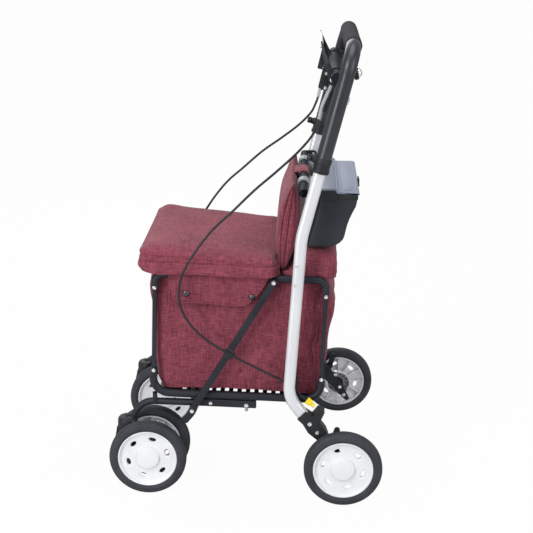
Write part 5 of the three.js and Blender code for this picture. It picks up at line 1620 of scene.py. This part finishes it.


# Backrest: a foam pad in the same cloth, pinched thin at its top and foot and fuller in the middle.
# Three piped seams run round its edge in a darker cloth, painted shade for the creases beside them, and a
# loop of cloth sewn to its back hangs it on the cross bar.
back_half, back_low_z, back_high_z = 0.158, 0.4875, 0.667
back_low_y, back_high_y = -0.1290, -0.1080
back_middle_z = (back_low_z + back_high_z) / 2
back_levels = (
    (0.066, -0.0225), (0.045, -0.0222), (0.026, -0.0212), (0.011, -0.0192), (0.003, -0.0165), (0, -0.0120),
    (0, 0.0110), (0.003, 0.0150), (0.011, 0.0172), (0.026, 0.0182), (0.066, 0.0185),
)
back_corner = 0.014


def back_y(z):
    """Where the leaning backrest's middle lies at a height."""
    return back_low_y + (back_high_y - back_low_y) * (z - back_low_z) / (back_high_z - back_low_z)


def back_ring(inset, depth):
    """A ring round the backrest: its inset, and its depth before or behind the middle."""
    ring = []
    tall = (back_high_z - back_low_z) / 2
    corner = max(back_corner - inset * 0.1, 0.008)
    for rise, x in rounded(tall - inset, inset - back_half, back_half - inset, corner, 26, 12):
        near_edge = abs(rise) / tall
        pinch = 1 - (0.86 * near_edge ** 2.6 if rise > 0 else 0.84 * near_edge ** 3.0)
        z = back_middle_z + rise * (1 - 0.03 * (1 - (x / back_half) ** 2))
        ring.append(spot(x * (1 - 0.02 * (1 - (rise / tall) ** 2)), back_y(z) + depth * pinch, z))
    return ring


backrest = stuffed(lofted("backrest_pad", [back_ring(*level) for level in back_levels]), 0.0022)
back_stitch = 0.004
back_corners = []
for x in (1, -1):
    for z, toward in ((back_low_z + back_stitch, 1), (back_high_z - back_stitch, -1)):
        place = spot(x * (back_half - back_stitch), back_y(z), z)
        back_corners.append((place, rearward, Vector((-x, 0, toward)).normalized()))
gathers(backrest, back_corners, 8, 0.05, 0.0022)
fitted(backrest, "uprights", "burgundy_cloth", cloth_finish, "backrest")
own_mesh(backrest)
# The pipings take the darker cloth, painted shade for the creases along the seams.
for word, depth in (("front", -0.0150), ("middle", -0.0010), ("rear", 0.0130)):
    edge = nearest_on(backrest, back_ring(-0.002, depth), 0.0002)
    back_seam = looped(f"backrest_piping_{word}", edge, 0.0014, rearward)
    fitted(back_seam, "uprights", "burgundy_cloth", crease_shade_finish)
    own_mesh(back_seam)

loop_half, loop_thickness = 0.028, 0.0018
loop_reach = crossbar_radius + 0.0006 + loop_thickness / 2
loop_path = [(-0.1085, 0.6525), (-0.1035, 0.6512)]
loop_path += [(crossbar_y + loop_reach * math.cos(turn), crossbar_z + loop_reach * math.sin(turn))
              for turn in (math.radians(-112 + 12.5 * k) for k in range(18))]
loop_path += [(-0.1005, 0.6665), (-0.1085, 0.6640)]
loop_points = []
loop_columns = 24
for k in range(loop_columns + 1):
    x = loop_half * (2 * k / loop_columns - 1)
    for y, z in loop_path:
        slack = 0.0006 * math.sin(9 * k / loop_columns + 60 * z)
        loop_points.append(spot(x, y, z + slack * (1 if y < -0.1 else 0.2)))
loop_faces = sheet_faces(loop_columns + 1, len(loop_path))
back_loop = cloth_wall(made("backrest_loop", loop_points, loop_faces, 60), loop_thickness)
fitted(back_loop, "uprights", "burgundy_cloth", cloth_finish)


# Shopping bag: a tall sewn bag of the same cloth, hung from the seat frame and standing on the tray.
# It is open on top, sags between its edges and rounds under at the foot. A flange of spare cloth is
# gathered down either rear edge.
bag_half, bag_top_z, bag_low_z = 0.150, 0.4785, 0.2223
bag_middle_y, bag_depth = -0.219, 0.18
bag_levels = (
    (0.4785, -0.4000, -0.0372, 0), (0.466, -0.4030, -0.0362, 0), (0.450, -0.4050, -0.0310, 0.0004),
    (0.432, -0.4036, -0.0250, 0.0010), (0.413, -0.4005, -0.0205, 0.0016), (0.390, -0.3988, -0.0232, 0.0022),
    (0.362, -0.3972, -0.0312, 0.0026), (0.330, -0.3960, -0.0366, 0.0028), (0.298, -0.3952, -0.0396, 0.0026),
    (0.270, -0.3942, -0.0430, 0.0022), (0.248, -0.3925, -0.0462, 0.0014), (0.232, -0.3890, -0.0500, 0.0006),
    (0.2223, -0.3840, -0.0545, 0),
)
bag_corner, bag_wall, bag_rows = 0.02, 0.0016, 46
flange_x, flange_y, flange_top_z, flange_low_z, flange_rows = 0.1495, -0.0500, 0.452, 0.226, 60
bag_feet = ((0.0042, 0.0012), (0.0100, 0.0040), (0.0200, 0.0066), (0.0320, 0.0084))


def bag_foot_z(y):
    along = (y - bag_middle_y) / bag_depth
    return rail_z(y) + 0.0056 + 0.0062 * max(0, 1 - along * along) + 0.0007 * math.sin(y * 95)


def between(levels, z, place):
    """A value from a table of levels, for a height between two of them."""
    for upper, lower in zip(levels, levels[1:]):
        if z >= lower[0]:
            share = (upper[0] - z) / (upper[0] - lower[0])
            return upper[place] + (lower[place] - upper[place]) * share
    return levels[-1][place]


def creased(x, y, z):
    """How far the bag's cloth stands off its plain shape: long soft folds, with finer ones between."""
    away = min(1, (bag_top_z - z) / 0.03) * min(1, max(0.15, (z - 0.215) / 0.03))
    slow = noise.noise(Vector((x * 5, y * 11, z * 6)))
    slant = noise.noise(Vector((x * 9 + 3, (y - z * 0.5) * 26, (z + y * 0.3) * 9)))
    fine = noise.noise(Vector((x * 26, y * 52 + 7, z * 34)))
    return away * (0.0060 * slow + 0.0062 * slant + 0.0015 * fine)


def bag_ring(z, inset=0.0, drop=0.0):
    front_y, rear_y, bulge = (between(bag_levels, z, place) for place in (1, 2, 3))
    share = (bag_top_z - z) / (bag_top_z - bag_low_z)
    half = bag_half + bulge
    ring = []
    corner = max(bag_corner - inset * 0.3, 0.010)
    for x, y in rounded(half - inset, front_y + inset, rear_y - inset, corner, 64, 52, 8):
        level = bag_top_z + (bag_foot_z(y) - bag_top_z) * share - drop
        off = creased(x, y, level)
        side = min(1, abs(x) / half) ** 12
        ring.append(spot(x + math.copysign(off * side, x),
                         y + math.copysign(off * (1 - side), y - bag_middle_y), level))
    return ring


heights = [bag_top_z + (bag_low_z - bag_top_z) * k / bag_rows for k in range(bag_rows + 1)]
bag_rings = [bag_ring(z) for z in heights]
bag_rings += [bag_ring(bag_low_z, inset, drop) for inset, drop in bag_feet]
bag = lofted("bag_shell", list(reversed(bag_rings)), top=False)
wall = bag.modifiers.new("cloth", "SOLIDIFY")
wall.thickness = bag_wall
wall.offset = -1
fitted(bag, "seat_body", "burgundy_cloth", cloth_finish, "shopping_bag")
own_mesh(bag)
bag_trim = [looped("foot", [point + upward * 0.0004 for point in bag_rings[bag_rows]], 0.0015),
            looped("mouth", bag_rings[0], 0.0015)]
for hand, word in hands:
    flange_points = []
    for k in range(flange_rows + 1):
        down = k / flange_rows
        z = flange_top_z + (flange_low_z - flange_top_z) * down
        inner_y = flange_y - 0.011 * down + 0.0012 * math.sin(z * 70)
        ease = math.sin(math.pi * min(1, down * 1.02)) ** 0.4
        wave = 0.0034 * math.sin(z * 62 + 1) + 0.0018 * math.sin(z * 141)
        for share in (0, 0.35, 0.7, 1):
            out = flange_x + 0.0105 * share * ease
            flange_points.append(spot(out, inner_y - share * (0.0065 + wave) * ease, z))
    flange_faces = [tuple(reversed(face)) for face in sheet_faces(flange_rows + 1, 4)]
    flange = cloth_wall(made("flange", flange_points, flange_faces, 60), 0.0022)
    solid = as_built(flange)
    flange.modifiers.clear()
    flange.data = solid
    bag_trim.append(mirrored(flange, hand))
trim = gathered("bag_seams", bag_trim)
smoothed(trim.data)
fitted(trim, "seat_body", "burgundy_cloth", cloth_finish)
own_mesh(trim)


# Side flaps: a cloth flap on each side that hangs over the hoop and buttons down on the bag.
# Its lower rear corner is cut round, its edge is rolled and sewn, and two dark snap buttons hold it.
flap_front_y, flap_rear_y = -0.360, -0.1570
flap_levels = (
    (0.4848, 0.1722), (0.476, 0.1738), (0.466, 0.1740), (0.456, 0.1728), (0.446, 0.1704), (0.436, 0.1682),
    (0.426, 0.1660), (0.418, 0.1648), (0.412, 0.1648),
)
flap_low_z, flap_turn_y, flap_turn = 0.4146, -0.2106, 0.0536
button_way = Vector((1, 0, -0.38)).normalized()
button_places = ((-0.327, 0.4410), (-0.1915, 0.4335))


def snap_metal():
    finish, nodes, links, shader = new_finish("snap_metal", 0.28, 0.9)
    film = flecks(nodes, links, 160)
    shaded(nodes, links, shader, film, (0.07, 0.072, 0.08), (0.16, 0.165, 0.175))
    roughened(nodes, links, shader, film, 0.2, 0.36)
    return finish


def flap_low(y):
    """The height of the flap's lower edge, with its rear corner cut round."""
    past = max(0, (y - flap_turn_y) / flap_turn)
    slack = 0.0010 * math.sin((y - flap_front_y) * 31)
    return flap_low_z - 0.039 * min(0, y - flap_turn_y) + slack + 0.064 * min(1, past) ** 1.6


def flap_x(y, z):
    """How far the flap hangs out at a place, with its ripples."""
    ripple = 0.0011 * math.sin(y * 70 + z * 30) + 0.0008 * noise.noise(Vector((1, y * 40, z * 40)))
    return between(flap_levels, z, 1) + ripple * min(1, (flap_levels[0][0] - z) / 0.02)


snap_finish = snap_metal()
flap_columns, flap_rows = 54, 16
for hand, word in hands:
    points, edge = [], []
    for k in range(flap_columns + 1):
        y = flap_front_y + (flap_rear_y - flap_front_y) * k / flap_columns
        top_z, low_z = flap_levels[0][0], flap_low(y)
        for i in range(flap_rows + 1):
            z = top_z + (low_z - top_z) * i / flap_rows
            points.append(spot(flap_x(y, z), y, z))
        edge.append(points[-1])
    flap_faces = sheet_faces(flap_columns + 1, flap_rows + 1)
    flap = mirrored(cloth_wall(made(f"side_flap_{word}", points, flap_faces, 60), 0.0014), hand)
    hem_line = [points[i] for i in range(flap_rows)] + edge
    hem = mirrored(swept(f"flap_hem_{word}", hem_line, round_section(0.0018, 10)), hand)
    fitted(flap, "seat_body", "burgundy_cloth", cloth_finish)
    fitted(hem, "seat_body", "burgundy_cloth", cloth_finish)
    buttons = []
    for y, z in button_places:
        seat = spot(flap_x(y, z), y, z) + button_way * 0.0006
        buttons.append(turned("button", [
            (0, -0.004), (0.0028, -0.004), (0.0028, -0.0006), (0.0071, -0.0004), (0.0075, 0.0006),
            (0.0072, 0.0018), (0.0054, 0.0034), (0.0028, 0.0042), (0, 0.0044),
        ], seat, button_way, 32))
    snaps = mirrored(gathered(f"snap_buttons_{word}", buttons), hand)
    fitted(snaps, "seat_body", "bright_metal", snap_finish)


# Rear cover: a flap of the same cloth over the back of the bag, from the backrest to the frame's end.
# It is sewn with a corded hem and a seam up either side, lies low in front, crowns up under the box
# behind, and its sides drape down to the hoops.
cover_half, cover_front_y, cover_rear_y, cover_z = 0.162, -0.1330, -0.0175, 0.4850
cover_seam_y, cover_cord = -0.0345, 0.0015
cover_steps = (
    (0.0030, -0.0130, -0.0135), (0.0012, -0.0080, -0.0050), (0.0004, -0.0035, 0.0060), (0.0, -0.0005, 0.0150),
    (0.0012, 0.0008, 0.0235), (0.0048, 0.0012, 0.0310), (0.0110, 0.0014, 0.0372), (0.0210, 0.0016, 0.0408),
    (0.0400, 0.0016, 0.0424),
)


def cover_ring(inset, low, high):
    """One level of the cover: its inset, and its rise at the front edge and under the box."""
    ring = []
    corner = max(0.024 - inset * 0.4, 0.010)
    for x, y in rounded(cover_half - inset, cover_front_y + inset, cover_rear_y - inset, corner, 40, 60, 8):
        back = min(1, max(0, (y + 0.122) / 0.042))
        lift = back * back * (3 - 2 * back)
        side = min(1, abs(x) / cover_half) ** 8
        slant = noise.noise(Vector((x * 9, (y + high * 1.3) * 46, high * 30)))
        fine = noise.noise(Vector((x * 30, y * 80, high * 90 + 4)))
        fold = (0.0030 * slant + 0.0012 * fine) * (1 if high > -0.01 else 0.3)
        out = math.copysign(fold * side, x)
        level = cover_z + low * (1 - lift) + high * lift
        ring.append(spot(x + out, y + fold * (1 - side) * 0.6, level + fold * 0.4))
    return ring


cover_rings = [cover_ring(*step) for step in cover_steps]
rear_cover = cloth_wall(lofted("rear_cover_cloth", cover_rings, foot=False), 0.0015)
fitted(rear_cover, "seat_body", "burgundy_cloth", cloth_finish, "bag_rear_cover")


def cover_seam(side):
    """The line of one side seam, up over the cover's edge."""
    line = []
    for ring in cover_rings[1:]:
        own = [point for point in ring if point.x * side > 0]
        nearest = min(own, key=lambda point: abs(point.y - axle_y - cover_seam_y))
        line.append(nearest + leftward * side * 0.0008)
    return line


seams = [swept("seam", cover_seam(side), round_section(0.0013, 8), rearward) for side in (1, -1)]
cover_piping = gathered("cover_piping", [looped("hem", cover_rings[0], cover_cord)] + seams)
smoothed(cover_piping.data)
fitted(cover_piping, "seat_body", "burgundy_cloth", cloth_finish)


# Camera and light: the photograph's view of the left side from a little above the handle.
# Five soft lamps and a pale studio light it, on a plain white floor.
camera_place = Vector((2.4512, 0.1264, 1.2291))
camera_yaw, camera_pitch = -0.0358, 0.3089
sight = Vector((-math.cos(camera_yaw) * math.cos(camera_pitch), math.sin(camera_yaw) * math.cos(camera_pitch),
                -math.sin(camera_pitch)))
camera_data = bpy.data.cameras.new("photo_camera")
camera_data.lens = 79.62
camera_data.sensor_width = 36
camera = placed("photo_camera", camera_data)
camera.location = camera_place
camera.rotation_euler = sight.to_track_quat("-Z", "Y").to_euler()
bpy.context.scene.camera = camera
bpy.context.scene.view_settings.view_transform = "Standard"


def soft_lamp(name, place, target, size, power):
    """A round, wide lamp turned towards the rollator."""
    lamp_data = bpy.data.lights.new(name, "AREA")
    lamp_data.shape = "DISK"
    lamp_data.size = size
    lamp_data.energy = power
    lamp = placed(name, lamp_data)
    lamp.location = place
    lamp.rotation_euler = (Vector(target) - Vector(place)).to_track_quat("-Z", "Y").to_euler()


soft_lamp("key_lamp", (2.2, -1.6, 2.6), (0, 0, 0.45), 1.5, 45)
soft_lamp("side_lamp", (2.7, -1.9, 0.75), (0, 0, 0.6), 0.9, 29)
soft_lamp("fill_lamp", (1.8, 2.4, 1.5), (0, 0, 0.5), 2.0, 23)
soft_lamp("top_lamp", (0.2, 0.2, 3.2), (0, 0, 0.4), 2.2, 30)
soft_lamp("back_lamp", (-2.4, -0.6, 1.8), (0, 0, 0.5), 1.8, 22)

world = bpy.data.worlds.new("studio")
world.use_nodes = True
world_nodes, world_links = world.node_tree.nodes, world.node_tree.links
seen_by = world_nodes.new("ShaderNodeLightPath")
either = world_nodes.new("ShaderNodeMath")
either.operation = "MAXIMUM"
world_links.new(seen_by.outputs["Is Camera Ray"], either.inputs[0])
world_links.new(seen_by.outputs["Is Transmission Ray"], either.inputs[1])
strength = world_nodes.new("ShaderNodeMapRange")
strength.inputs["To Min"].default_value = 0.5
strength.inputs["To Max"].default_value = 1.0
world_links.new(either.outputs["Value"], strength.inputs["Value"])
backdrop = world_nodes["Background"]
backdrop.inputs["Color"].default_value = (1, 1, 1, 1)
world_links.new(strength.outputs["Result"], backdrop.inputs["Strength"])
bpy.context.scene.world = world

floor = made("studio_floor", [(-60, -60, 0), (60, -60, 0), (60, 60, 0), (-60, 60, 0)], [(0, 1, 2, 3)])
floor_finish, floor_nodes, floor_links, floor_shader = new_finish("studio_white", 0.9)
floor_shader.inputs["Base Color"].default_value = (0.6, 0.6, 0.6, 1)
floor_glow = floor_nodes.new("ShaderNodeEmission")
floor_glow.inputs["Color"].default_value = (1, 1, 1, 1)
floor_mix = floor_nodes.new("ShaderNodeMixShader")
floor_sight = floor_nodes.new("ShaderNodeLightPath")
floor_share = floor_nodes.new("ShaderNodeMapRange")
floor_share.inputs["To Max"].default_value = 0.97
floor_links.new(floor_sight.outputs["Is Camera Ray"], floor_share.inputs["Value"])
floor_links.new(floor_share.outputs["Result"], floor_mix.inputs["Fac"])
floor_links.new(floor_shader.outputs["BSDF"], floor_mix.inputs[1])
floor_links.new(floor_glow.outputs["Emission"], floor_mix.inputs[2])
floor_links.new(floor_mix.outputs["Shader"], floor_nodes["Material Output"].inputs["Surface"])
floor.data.materials.append(floor_finish)
